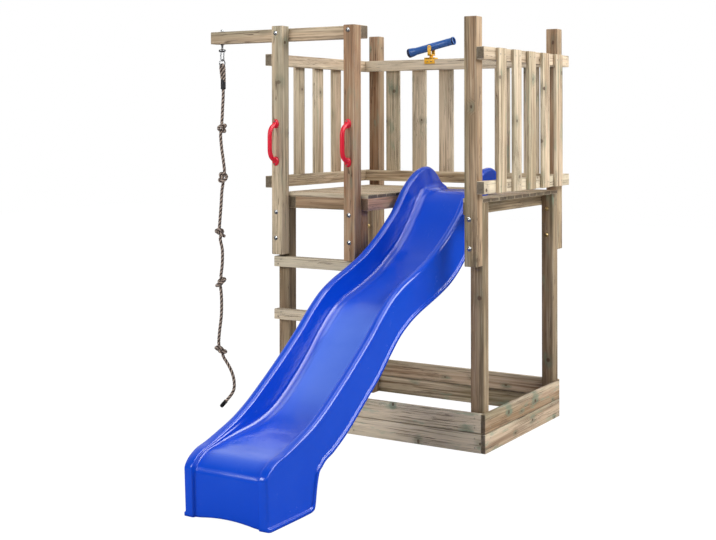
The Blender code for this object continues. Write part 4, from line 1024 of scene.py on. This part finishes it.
def slide_half_section(y, rim, floor, lower, edge_line):
    """Half of the section at y, from the lower edge over the rim to the middle of the floor."""
    room = rim - lower
    depth = max(0.004, rim - floor)
    half, radius = SLIDE_HALF_WIDTH, soft_low(RIM_RADIUS * 1.04, 0.35 * depth, 0.30 * room)
    points = []

    # The band keeps its width where the lower edge is steep
    rises = np.linspace(0, room, 160)
    along, up = edge_line[:, 0][None], edge_line[:, 1][None]
    away = np.hypot(along - y, up - (lower + rises)[:, None]).min(axis=1)
    reached = np.maximum.accumulate(away)
    shrink = min(1.0, BAND_SHARE * room / BAND_STEPS[-1][0])
    for distance, out in BAND_STEPS:
        rise = float(np.interp(distance * shrink, reached, rises)) if distance else 0.0
        points.append((half + SLIDE_BAND * out, lower + min(rise, room * 0.62)))

    # The outer wall and the rolled rim
    bend = rim - radius
    start = points[-1][1]
    for step in range(1, WALL_STEPS):
        points.append((half, start + (bend - start) * step / WALL_STEPS))
    turns = np.linspace(0, math.pi / 2, ARC_STEPS)
    points += [(half - radius + radius * math.cos(t), bend + radius * math.sin(t)) for t in turns]
    inner = half - RIM_WIDTH
    points += [(inner + radius - radius * math.cos(t), bend + radius * math.sin(t)) for t in turns[::-1]]

    # The inner wall, its fillet and the floor
    fillet = soft_low(FLOOR_FILLET, 0.52 * depth)
    wall_foot = inner - WALL_LEAN * depth
    top = floor + fillet
    points.append(((inner + wall_foot) / 2, (bend + top) / 2))
    for turn in np.linspace(0, math.pi / 2, FILLET_STEPS):
        points.append((wall_foot - fillet * (1 - math.cos(turn)), top - fillet * math.sin(turn)))
    edge = wall_foot - fillet
    points += [(edge * (1 - step / FLOOR_STEPS), floor) for step in range(1, FLOOR_STEPS)]
    points.append((0.0, floor))
    return points


def make_slide():
    rim_line, floor_line, lower_line = (smooth_line(line) for line in (RIM_LINE, FLOOR_LINE, LOWER_LINE))
    spans = ((SLIDE_FRONT, HEEL_START, 120), (HEEL_START, HEEL_END, 160), (HEEL_END, WING_END, 360))
    edge_ys = np.concatenate([np.linspace(*span) for span in spans])
    edge_line = np.array([(y, float(lower_line(y))) for y in edge_ys])
    foot_height = float(rim_line(SLIDE_FRONT))
    corner = at(SLIDE_X, 0, 0)
    side_points = len(BAND_STEPS) + WALL_STEPS - 1

    def build(bm):
        rows = []
        for y in slide_stations():
            rim = float(rim_line(y)) - rolled(RIM_ROLL, y, RIM_ROLL)
            floor = float(floor_line(y)) - rolled(LIP_ROLL, y, LIP_ROLL)
            half = slide_half_section(y, rim, floor, float(lower_line(y)), edge_line)
            row = []
            for x, z in [(-x, z) for x, z in half] + half[-2::-1]:
                place = y
                if abs(x) < SLIDE_HALF_WIDTH - RIM_WIDTH * 1.5 and y > DECK_EDGE:
                    place = DECK_EDGE + (y - DECK_EDGE) * (LIP_END - DECK_EDGE) / (WING_END - DECK_EDGE)
                near = max(0.0, 1 - (y - SLIDE_FRONT) / FOOT_REACH)
                place += FOOT_RAKE * near * (1 - z / foot_height) + front_inset(x) * near
                row.append(bm.verts.new((corner.x + x, corner.y + place, z)))
            rows.append(row)
        for low, high in zip(rows, rows[1:]):
            for k in range(len(low) - 1):
                bm.faces.new((low[k], low[k + 1], high[k + 1], high[k]))
        close_foot(bm, rows[0], side_points, corner.x)
        bmesh.ops.recalc_face_normals(bm, faces=bm.faces)
        top = max(bm.faces, key=lambda face: face.calc_center_median().z)
        if top.normal.z < 0:
            bmesh.ops.reverse_faces(bm, faces=bm.faces)

    mesh = mesh_of("moulded_slide", build, sharp=70)
    # The paler patch low on the floor: painted sheen of overhead light, together with rub wear.
    sheen_and_rubs = []
    sheen_and_rub_line = smooth_line(SHEEN_AND_RUB_LINE)
    for vert in mesh.vertices:
        x, y, z = vert.co.x - corner.x, vert.co.y - corner.y, vert.co.z
        above = z - float(floor_line(max(y, SLIDE_FRONT)))
        low = np.clip((SHEEN_RUB_HEIGHT - above) / SHEEN_RUB_FADE_UP, 0, 1)
        inside = np.clip((SHEEN_RUB_HALF_WIDTH - abs(x)) / SHEEN_RUB_FADE_OUT, 0, 1)
        sheen_and_rubs.append(low * inside * float(sheen_and_rub_line(y)))
    store(mesh, "sheen_and_rub", "FLOAT", sheen_and_rubs)
    slide = piece("moulded_slide", mesh, SLIDE_BLUE, "tower", ["slide"])
    # Even thickness stays off, because it throws spikes out of the wing's end
    shell = slide.modifiers.new("wall", "SOLIDIFY")
    shell.thickness = SLIDE_WALL
    shell.offset = -1


def close_foot(bm, edge, side_points, middle_x):
    """The foot's front, straight down from the rolled edge to an arched lower edge between the columns."""
    middle = edge[side_points:-side_points]
    ground = edge[0].co.z
    tall = edge[side_points].co.z - ground
    above = middle
    for level in range(1, side_points + 1):
        left, right = edge[side_points - level], edge[level - side_points - 1]
        share = (left.co.z - ground) / tall
        row = [left]
        out, forward = abs(left.co.x - edge[side_points].co.x), left.co.y - edge[side_points].co.y
        for vert in middle[1:-1]:
            x = vert.co.x - middle_x
            low = ground + APRON_ARCH * max(0.0, 1 - (x / APRON_HALF) ** 2)
            past = abs(x) - (SLIDE_HALF_WIDTH - RIM_WIDTH)
            if past > 0:
                spread, move = math.copysign(out * past / RIM_WIDTH, x), forward
            else:
                spread, move = 0.0, APRON_RAKE * (1 - share)
            place = (vert.co.x + spread, vert.co.y + move, low + (vert.co.z - low) * share)
            row.append(bm.verts.new(place))
        row.append(right)
        for k in range(len(row) - 1):
            bm.faces.new((above[k], row[k], row[k + 1], above[k + 1]))
        above = row


# Hand grips

HANDLE_X = (0.030, 0.5046)
HANDLE_Z = 1.5785
HANDLE_HALF = 0.1045
HANDLE_OUT = 0.060
GRIP_RADIUS = 0.0125
GRIP_LINE = [
    (0.002, 0.1045), (0.010, 0.1020), (0.020, 0.0970), (0.030, 0.0915), (0.040, 0.0850), (0.048, 0.0770),
    (0.0545, 0.0660), (0.0585, 0.0530), (0.0600, 0.0380), (0.0600, 0.0190),
]
GRIP_POINTS = 72
# The grip's ends are this share as thick, and thicken over this many points
GRIP_END_SHARE = 0.86
GRIP_END_POINTS = 10
GRIP_VOXEL = 0.0012
# Half width, height and half length of a domed pad
PAD_SIZE = (0.0208, 0.0168, 0.0262)
PAD_GAP = 0.0003
PAD_SCREW_OUT = 0.014
PAD_SCREW_OUTLINE = [
    (0.0120, 0), (0.0120, 0.0046), (0.0172, 0.0048), (0.0180, 0.0040), (0.0178, 0.0020), (0.0166, 0.0014),
    (0.0164, 0),
]


def make_handle(name, node, x):
    """One moulding, a bent grip between two domed pads, with a screw in each pad."""
    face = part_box("post_front_left")[0].y - PAD_GAP
    centre = at(x, 0, HANDLE_Z)
    centre.y = face
    half = [tuple(centre + Vector((0, -out, up))) for out, up in GRIP_LINE]
    line = half + [(centre.x, centre.y - HANDLE_OUT, centre.z)]
    line += [(px, py, 2 * centre.z - pz) for px, py, pz in reversed(half)]
    line = resample(np.array(line), GRIP_POINTS)
    line = eased(line, 3)
    order = np.arange(GRIP_POINTS)
    ends = np.minimum(order, order[::-1]) / GRIP_END_POINTS
    radii = GRIP_RADIUS * np.clip(GRIP_END_SHARE + (1 - GRIP_END_SHARE) * ends, 0, 1)

    turns = np.linspace(0, math.pi / 2, 12)[:-1]
    dome = [(PAD_SIZE[1] * math.sin(turn), PAD_SIZE[0] * math.cos(turn) ** 0.8) for turn in turns]

    def build(bm):
        swept(bm, line, radii, 28)
        for sign in (-1, 1):
            before = set(bm.verts)
            turned(bm, Vector((0, 0, 0)), -Y, [(0, 0), *dome, (PAD_SIZE[1], 0)], 36)
            fresh = [v for v in bm.verts if v not in before]
            bmesh.ops.scale(bm, vec=(1, 1, PAD_SIZE[2] / PAD_SIZE[0]), verts=fresh)
            bmesh.ops.translate(bm, vec=centre + Vector((0, 0, sign * HANDLE_HALF)), verts=fresh)
        bmesh.ops.recalc_face_normals(bm, faces=bm.faces)

    grip = built(name, build, HANDLE_RED, "tower", [node])
    cast = grip.modifiers.new("one_moulding", "REMESH")
    cast.mode = "VOXEL"
    cast.voxel_size = GRIP_VOXEL
    cast.use_smooth_shade = True
    soften = grip.modifiers.new("soft_joins", "SMOOTH")
    soften.factor = 0.5
    soften.iterations = 5

    def screws(bm):
        for sign in (-1, 1):
            place = centre + Z * sign * (HANDLE_HALF + PAD_SCREW_OUT)
            turned(bm, place, -Y, PAD_SCREW_OUTLINE, 20)

    built(f"{name}_screws", screws, SCREW_STEEL, "tower", sharp=30)


# Telescope

SCOPE_X = 0.457
SCOPE_PIVOT_Z = 2.149
SCOPE_TILT = math.radians(12.3)
SCOPE_HALF = 0.161
# Radii of the tube: its bore, its body, the rim at the eye and the bell at the front
BORE, BODY, RIM, BELL = 0.0185, 0.0225, 0.0245, 0.0280
TUBE_OUTLINE = [
    (-0.148, 0), (-0.148, BORE), (-SCOPE_HALF + 0.001, BORE + 0.001), (-SCOPE_HALF, BORE + 0.003),
    (-SCOPE_HALF, BELL - 0.003), (-SCOPE_HALF + 0.001, BELL - 0.001), (-SCOPE_HALF + 0.004, BELL),
    (-0.1420, BELL), (-0.1400, BELL - 0.0012), (-0.1380, BELL - 0.0006), (-0.1290, 0.0266), (-0.1200, 0.0246),
    (-0.1110, 0.0231), (-0.1060, BODY), (-0.020, BODY), (-0.019, BODY + 0.0006), (0.019, BODY + 0.0006),
    (0.020, BODY), (0.110, BODY), (0.111, BODY + 0.0008), (0.114, BODY + 0.0008), (0.115, BODY),
    (0.1448, BODY), (0.1460, 0.0232), (0.1490, 0.0243), (0.1500, RIM), (0.1590, RIM), (0.1605, RIM - 0.001),
    (SCOPE_HALF, RIM - 0.003), (SCOPE_HALF, BORE + 0.001), (SCOPE_HALF - 0.002, BORE), (0.149, BORE),
    (0.149, 0),
]
TUBE_PIN_OUTLINE = [(0, 0), (0, 0.004), (0.0078, 0.004), (0.0086, 0.003), (0.0086, 0)]
COLLAR_OUTLINES = [
    [(-0.1600, BELL - 0.0012), (-0.1585, BELL + 0.0002), (-0.1440, BELL + 0.0002), (-0.1430, BELL - 0.0012)],
    [(0.1505, RIM - 0.0012), (0.1512, RIM + 0.0002), (0.1588, RIM + 0.0002), (0.1595, RIM - 0.0012)],
]
LENS_OUTLINES = [
    [(-0.1492, 0.0180), (-0.1500, 0.0150), (-0.1512, 0.0080), (-0.1515, 0)],
    [(0.1495, 0.0180), (0.1502, 0.0150), (0.1510, 0.0080), (0.1512, 0)],
]
SADDLE_HALF = 0.035
SADDLE_GAP = 0.0003
SADDLE_THICK = 0.010
SADDLE_DEPTH_HALF = 0.0215
# The flap hangs in front of the rail, with two ribs, (low, high) from the rail's top, and two screws
FLAP_OUT = 0.0063
FLAP_THICK = 0.006
FLAP_DROP = 0.028
RIB_X = 0.0235
RIB_HALF = 0.0015
RIB_SPAN = (-0.022, 0.006)
RIB_PROUD = 0.0006
RIB_ROOT = 0.004
FLAP_SCREW_X = 0.013
FLAP_SCREW_DROP = 0.015
PEG_OUTLINE = [
    (0.006, 0), (0.006, 0.0150), (0.0110, 0.0146), (0.0125, 0.0125), (0.0140, 0.0110), (0.0215, 0.0110),
    (0.0223, 0.0100), (0.0223, 0),
]
SADDLE_SCREW_OUTLINE = [
    (-0.001, 0), (-0.001, 0.0042), (0.0012, 0.0040), (0.0018, 0.0026), (0.0008, 0.0012), (0.0006, 0),
]
FORK_DISC_OUTLINE = [(0, 0), (0, 0.0212), (0.001, 0.0220), (0.006, 0.0220), (0.007, 0.0210), (0.007, 0)]
FORK_DISC_Z = 2.0966
FORK_DISC_THICK = 0.007
FORK_BRIDGE_EDGE = 0.0012
ARM_IN = 0.0235
ARM_THICK = 0.005
ARM_HALF = 0.0118
# An arm starts inside the disc, narrows to its neck and ends in an eye of more than half a turn
ARM_FOOT_UP = 0.001
ARM_NECK = 0.0104
ARM_NECK_DROP = 0.018
ARM_EYE = 0.0112
ARM_EYE_PAST = 0.35


def make_telescope():
    rail_low, rail_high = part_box("rail_back_upper")
    middle_y = (rail_low.y + rail_high.y) / 2
    pivot = at(SCOPE_X, 0, SCOPE_PIVOT_Z)
    pivot.y = middle_y
    axis = Vector((math.cos(SCOPE_TILT), 0, math.sin(SCOPE_TILT)))

    def tube(bm):
        turned(bm, pivot, axis, TUBE_OUTLINE, 56)
        for side in (-1, 1):
            turned(bm, pivot + Y * side * (BODY - 0.002), Y * side, TUBE_PIN_OUTLINE, 24)

    def collars(bm):
        for outline in COLLAR_OUTLINES:
            turned(bm, pivot, axis, outline, 56)

    def lenses(bm):
        for outline in LENS_OUTLINES:
            turned(bm, pivot, axis, outline, 48)

    body, slot = "telescope_tube", "navy_plastic"
    built("toy_telescope", tube, TELESCOPE_NAVY, body, ["telescope_tube"], 32)
    built("telescope_collars", collars, TELESCOPE_DARK, body, sharp=32)
    built("telescope_lenses", lenses, LENS, body)
    make_saddle(middle_y, rail_high.z)
    make_fork(pivot)


def make_saddle(middle_y, rail_top):
    """The saddle on the rail, its ribbed flap in front and the peg that the fork turns on."""
    x = at(SCOPE_X, 0, 0).x
    back_y = middle_y + SADDLE_DEPTH_HALF
    front_y = middle_y - SADDLE_DEPTH_HALF - FLAP_OUT
    left, right = x - SADDLE_HALF, x + SADDLE_HALF
    top = rail_top + SADDLE_GAP + SADDLE_THICK

    def build(bm):
        block(bm, (left, front_y, rail_top + SADDLE_GAP), (right, back_y, top), 0.0025, 3)
        block(bm, (left, front_y, rail_top - FLAP_DROP), (right, front_y + FLAP_THICK, top), 0.0022, 3)
        for rib in (x - RIB_X, x + RIB_X):
            low = (rib - RIB_HALF, front_y - RIB_PROUD, rail_top + RIB_SPAN[0])
            high = (rib + RIB_HALF, front_y + RIB_ROOT, rail_top + RIB_SPAN[1])
            block(bm, low, high, 0.0006, 2)
        turned(bm, Vector((x, middle_y, rail_top)), Z, PEG_OUTLINE, 40)

    def screws(bm):
        for side in (-1, 1):
            place = Vector((x + side * FLAP_SCREW_X, front_y, rail_top - FLAP_SCREW_DROP))
            turned(bm, place, -Y, SADDLE_SCREW_OUTLINE, 20)

    built("telescope_saddle", build, TELESCOPE_YELLOW, "tower", ["telescope_base"], 45)
    built("saddle_screws", screws, SCREW_STEEL, "tower", sharp=30)


def make_fork(pivot):
    """A disc on the peg, a bridge across it and two arms with round ends at the tube's pins."""
    disc = Vector((pivot.x, pivot.y, FORK_DISC_Z))
    reach = Vector((ARM_HALF, ARM_IN + ARM_THICK, 0))
    arcs = np.linspace(-ARM_EYE_PAST, math.pi + ARM_EYE_PAST, 18)
    foot, neck = disc.z + ARM_FOOT_UP, pivot.z - ARM_NECK_DROP
    outline = [(-ARM_HALF, foot), (ARM_HALF, foot), (ARM_NECK, neck)]
    outline += [(ARM_EYE * math.cos(turn), pivot.z + ARM_EYE * math.sin(turn)) for turn in arcs]
    outline += [(-ARM_NECK, neck)]

    def build(bm):
        turned(bm, disc, Z, FORK_DISC_OUTLINE, 40)
        block(bm, disc - reach, disc + reach + Z * FORK_DISC_THICK, FORK_BRIDGE_EDGE, 2)
        for side in (-1, 1):
            near, far = sorted((pivot.y + side * ARM_IN, pivot.y + side * (ARM_IN + ARM_THICK)))
            rings = [[bm.verts.new((pivot.x + x, y, z)) for x, z in outline] for y in (near, far)]
            join_rings(bm, rings, len(outline))
            caps = [bm.faces.new(rings[0][::-1]), bm.faces.new(rings[1])]
            edges = list({edge for cap in caps for edge in cap.edges})
            bmesh.ops.bevel(bm, geom=edges, offset=0.001, segments=2, profile=0.5, affect="EDGES")
        bmesh.ops.recalc_face_normals(bm, faces=bm.faces)

    body = "telescope_fork"
    built("telescope_cradle", build, TELESCOPE_YELLOW, body, ["telescope_fork"], 45)


# Steel that the rope hangs on

PIN_Z = 2.110
PIN_HALF = 0.015
PIN_END_OUT = 0.0205
LUG_HALF = 0.0057
TOP_WASHER_THICK = 0.0026
# Width across the flats and thickness
BEAM_NUT = (0.0180, 0.0100)
PIN_NUT = (0.0145, 0.0058)
PIN_NUT_GAP = 0.0001
LINK_BAR_Z = 2.051
LINK_HALF = 0.0105
LINK_WIRE = 0.0039
LINK_EYE_X = 0.0068
LINK_LEG_TOP = 0.0075
LINK_LEG_MIDDLE = 0.020
RING_TOP_Z = 2.0591
RING_RADIUS = 0.0215
RING_WIRE = 0.0035
RING_TURN = math.radians(8)
SLEEVE_TOP = 1.940
SLEEVE_SHIFT = 0.0065
SLEEVE_RIDGE = 0.0006
SLEEVE_LUMP = 0.00035
EYE_SLACK = 0.0007
TOP_WASHER_OUTLINE = [
    (0.0002, 0.0056), (0.0002, 0.0136), (0.0010, 0.0140), (0.0022, 0.0140), (0.0026, 0.0134),
    (0.0026, 0.0056),
]
LOW_WASHER_OUTLINE = [
    (0.0002, 0.0056), (0.0002, 0.0136), (0.0010, 0.0140), (0.0024, 0.0140), (0.0030, 0.0132),
    (0.0030, 0.0056),
]
TOP_END_OUTLINE = [(0.012, 0.0049), (0.0153, 0.0049), (0.0161, 0.0040), (0.0161, 0)]
SHANK_OUTLINE = [(0.0028, 0.0080), (0.0060, 0.0080), (0.0100, 0.0064), (0.024, 0.0056), (0.030, 0.0056)]
LUG_OUTLINE = [(0, 0), (0, 0.0090), (0.0008, 0.0098), (0.0106, 0.0098), (0.0114, 0.0090), (0.0114, 0)]
PIN_OUTLINE = [(0, 0), (0, 0.0039), (0.030, 0.0039), (0.030, 0)]
PIN_END_OUTLINE = [(0, 0.0038), (0.0004, 0.0038), (0.0004, 0)]
LINK_EYE_OUTLINE = [
    (0, 0.0046), (0, 0.0080), (0.0008, 0.0085), (0.0068, 0.0085), (0.0076, 0.0080), (0.0076, 0.0046),
]


def hexagon(bm, place, way, across, length):
    """A hexagon head or nut with its corners turned off."""
    corner = across / math.sqrt(3)
    outline = [(0, 0), (0, corner * 0.93), (length * 0.12, corner), (length * 0.88, corner)]
    turned(bm, place, way, [*outline, (length, corner * 0.93), (length, 0)], 6)


def make_hanger():
    """The bolt through the beam, with its nut on top, and its lug below with the cross pin."""
    pin = at(HANGER_X, HANGER_Y, PIN_Z)
    beam_low, beam_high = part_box("rope_beam")

    def build(bm):
        top = Vector((pin.x, pin.y, beam_high.z))
        low = Vector((pin.x, pin.y, beam_low.z))
        turned(bm, top, Z, TOP_WASHER_OUTLINE, 32)
        hexagon(bm, top + Z * TOP_WASHER_THICK, Z, *BEAM_NUT)
        turned(bm, top, Z, TOP_END_OUTLINE, 20)
        turned(bm, low, -Z, LOW_WASHER_OUTLINE, 32)
        turned(bm, low, -Z, SHANK_OUTLINE, 28)
        turned(bm, pin - X * LUG_HALF, X, LUG_OUTLINE, 36)
        turned(bm, pin - X * PIN_HALF, X, PIN_OUTLINE, 20)
        for side in (-1, 1):
            hexagon(bm, pin + X * side * (PIN_HALF + PIN_NUT_GAP), X * side, *PIN_NUT)
        turned(bm, pin + X * PIN_END_OUT, X, PIN_END_OUTLINE, 16)

    built("beam_hook", build, BRIGHT_STEEL, "tower", ["rope_hanger"], 32)


def make_link():
    """A U of round bar that hangs on the pin by two eyes."""
    pin = at(HANGER_X, HANGER_Y, PIN_Z)
    bend = pin + Z * (LINK_BAR_Z + LINK_HALF - PIN_Z)
    legs = [(-1, LINK_LEG_TOP), (-1, LINK_LEG_MIDDLE), (1, LINK_LEG_MIDDLE), (1, LINK_LEG_TOP)]
    line = [tuple(pin + X * side * LINK_HALF - Z * drop) for side, drop in legs]
    turns = np.linspace(0, math.pi, 17)
    line[2:2] = [tuple(bend - X * LINK_HALF * math.cos(t) - Z * LINK_HALF * math.sin(t)) for t in turns]

    def build(bm):
        swept(bm, line, [LINK_WIRE] * len(line), 20)
        for side in (-1, 1):
            turned(bm, pin + X * side * LINK_EYE_X, X * side, LINK_EYE_OUTLINE, 32)
        bmesh.ops.recalc_face_normals(bm, faces=bm.faces)

    built("u_link", build, BRIGHT_STEEL, "rope_link", ["rope_link"], 45)


def make_ring():
    centre = at(HANGER_X, HANGER_Y, RING_TOP_Z - RING_RADIUS)
    across = Vector((math.sin(RING_TURN), math.cos(RING_TURN), 0))
    normal = across.cross(Z)

    def build(bm):
        rings = []
        for turn in np.linspace(0, 2 * math.pi, 72, endpoint=False):
            out = across * math.cos(turn) + Z * math.sin(turn)
            ring = []
            for roll in np.linspace(0, 2 * math.pi, 20, endpoint=False):
                reach = RING_RADIUS + RING_WIRE * math.cos(roll)
                ring.append(bm.verts.new(centre + out * reach + normal * RING_WIRE * math.sin(roll)))
            rings.append(ring)
        join_rings(bm, rings + rings[:1], 20)
        bmesh.ops.recalc_face_normals(bm, faces=bm.faces)

    built("round_ring", build, BRIGHT_STEEL, "climbing_rope", ["rope_ring"])


def make_rope_eye():
    """The loop of rope round the ring, with its two legs held in the black sleeve."""
    bend = RING_WIRE + ROPE_DIAMETER / 2 + EYE_SLACK
    ring_z = RING_TOP_Z - 2 * RING_RADIUS
    across = Vector((math.cos(RING_TURN), -math.sin(RING_TURN), 0))
    flat = [(0.0076, SLEEVE_TOP - 0.012), (0.0078, SLEEVE_TOP), (bend * 0.80, SLEEVE_TOP + 0.022)]
    flat += [(bend * 0.95, SLEEVE_TOP + 0.048), (bend, SLEEVE_TOP + 0.068)]
    arc = [(bend * math.cos(t), ring_z + bend * math.sin(t)) for t in np.linspace(0, math.pi, 15)]
    line = flat + arc + [(-x, z) for x, z in reversed(flat)]
    reach = ring_z - SLEEVE_TOP
    centre = at(HANGER_X, HANGER_Y, 0)
    points = []
    for x, z in line:
        shift = SLEEVE_SHIFT * min(1.0, max(0.0, (ring_z - z) / reach))
        points.append(tuple(Vector((centre.x + shift, centre.y, z)) + across * x))
    points = eased(resample(np.array(points), 96), 4)
    mesh = laid_rope("spliced_eye", points, ROPE_DIAMETER * 0.99, phase=0.9)
    piece("spliced_eye", mesh, BROWN_ROPE, "climbing_rope", ["rope_eye"])

    def sleeve(bm):
        place = at(HANGER_X + SLEEVE_SHIFT, HANGER_Y, SLEEVE_TOP)
        outline = [(-0.0006, 0), (-0.0006, 0.0118), (0.0012, 0.0140), (0.0040, 0.0152)]
        for step, along in enumerate(np.linspace(0.006, 0.0505, 22)):
            outline.append((along, 0.0148 + SLEEVE_RIDGE * math.sin(step * 2.1)))
        outline += [(0.0525, 0.0150), (0.0550, 0.0132), (0.0561, 0.0105), (0.0561, 0)]
        turned(bm, place, -Z, outline, 40)
        for vert in bm.verts:
            lump = SLEEVE_LUMP * math.sin(vert.co.x * 900 + vert.co.z * 210) * math.cos(vert.co.y * 800)
            flat_way = Vector((vert.co.x - place.x, vert.co.y - place.y, 0))
            if flat_way.length > 0.001:
                vert.co += flat_way.normalized() * min(0, lump)

    built("black_rope_sleeve", sleeve, BLACK_SLEEVE, "climbing_rope", sharp=60)


# Floor, backdrop and light


WORLD_LIGHT = 0.38
FLOOR_GLOW = 1.09
FLOOR_GLOW_SHARE = 0.90
# What glossy surfaces mirror of the floor, which is darker than what the camera sees of it
FLOOR_MIRRORED = (0.13, 0.13, 0.13)
STAGE_HALF = 14
# Each lamp: name, place, what it faces, size, power in watts
LAMPS = [
    ("top_panel", (0.8, -0.2, 5.4), (0.5, -0.1, 1.0), (2.6, 2.6), 60),
    ("right_panel", (4.5, 1.3, 3.7), (0.8, -0.7, 0.6), (4.8, 1.9), 195),
    ("front_panel", (-1.4, -6.2, 3.6), (0.4, -0.3, 1.0), (2.4, 2.0), 190),
]


def make_floor():
    """A pale floor that the camera sees as nearly white, apart from the object's soft shadow."""
    look = Finish("pale_floor", Roughness=0.9, Specular_IOR_Level=0.1)
    cloud = look.noise(look.place(), 1.5, 2)
    pale = look.mix(cloud, (0.88, 0.88, 0.87), (0.91, 0.91, 0.90))
    mirrored = look.node("ShaderNodeLightPath", {}, {}, "Is Glossy Ray")
    look.set(Base_Color=look.mix(mirrored, pale, FLOOR_MIRRORED))
    seen = look.node("ShaderNodeLightPath", {}, {}, "Is Camera Ray")
    glow = look.node("ShaderNodeEmission", {}, {"Color": (1, 1, 1, 1), "Strength": FLOOR_GLOW})
    shaded = Signal(look, look.shader.outputs[0])
    both = look.node("ShaderNodeMixShader", {}, {0: seen * FLOOR_GLOW_SHARE, 1: shaded, 2: glow})
    look.tree.links.new(both.socket, look.tree.nodes["Material Output"].inputs["Surface"])

    def build(bm):
        bmesh.ops.create_grid(bm, x_segments=8, y_segments=8, size=STAGE_HALF)
        bmesh.ops.translate(bm, vec=(0, 0, CAD_BOX[0].z - 0.0005), verts=bm.verts)

    mesh = mesh_of("floor", build)
    mesh.materials.append(look.material)
    floor = bpy.data.objects.new("floor", mesh)
    SCENE.collection.objects.link(floor)


def make_world():
    """White to the camera; gloss mirrors a white wall behind, a dark front and a bright patch high right."""
    world = bpy.data.worlds.new("studio")
    world.use_nodes = True
    SCENE.world = world
    sky = Nodes(world.node_tree)
    across, deep, up = sky.parts(sky.node("ShaderNodeTexCoord", {}, {}, "Generated"))
    glossy = sky.node("ShaderNodeLightPath", {}, {}, "Is Glossy Ray")
    seen = sky.node("ShaderNodeLightPath", {}, {}, "Is Camera Ray")
    above = up.between(-0.05, 0.30) * 0.92 + 0.08
    wall = deep.between(-0.35, 0.30) * 0.95 + 0.10
    ceiling = 1 - up.between(0.50, 0.85) * 0.60
    strip = up.between(0.50, 0.60) * across.between(0.34, 0.46) * 6.0
    mirrored = above * wall * ceiling + strip
    level = glossy * (mirrored - WORLD_LIGHT) + WORLD_LIGHT
    ground = sky.tree.nodes["Background"]
    ground.inputs["Color"].default_value = (1, 1, 1, 1)
    sky.feed(ground.inputs["Strength"], level.maths("MAXIMUM", level, seen))


def make_lamps():
    for name, place, aim, size, power in LAMPS:
        data = bpy.data.lights.new(name, "AREA")
        data.shape = "RECTANGLE"
        data.size, data.size_y = size
        data.energy = power
        lamp = bpy.data.objects.new(name, data)
        SCENE.collection.objects.link(lamp)
        lamp.location = at(*place)
        lamp.rotation_euler = (at(*aim) - lamp.location).to_track_quat("-Z", "Y").to_euler()


make_timbers()
make_deck()
make_rope_beam()
make_bolts()
make_screws()
make_slide()
make_handle("left_hand_grip", "handle_left", HANDLE_X[0])
make_handle("middle_hand_grip", "handle_middle", HANDLE_X[1])
make_telescope()
make_hanger()
make_link()
make_ring()
make_rope_eye()
make_floor()
make_world()
make_lamps()

SCENE.view_settings.view_transform = "Standard"
bpy.context.view_layer.update()
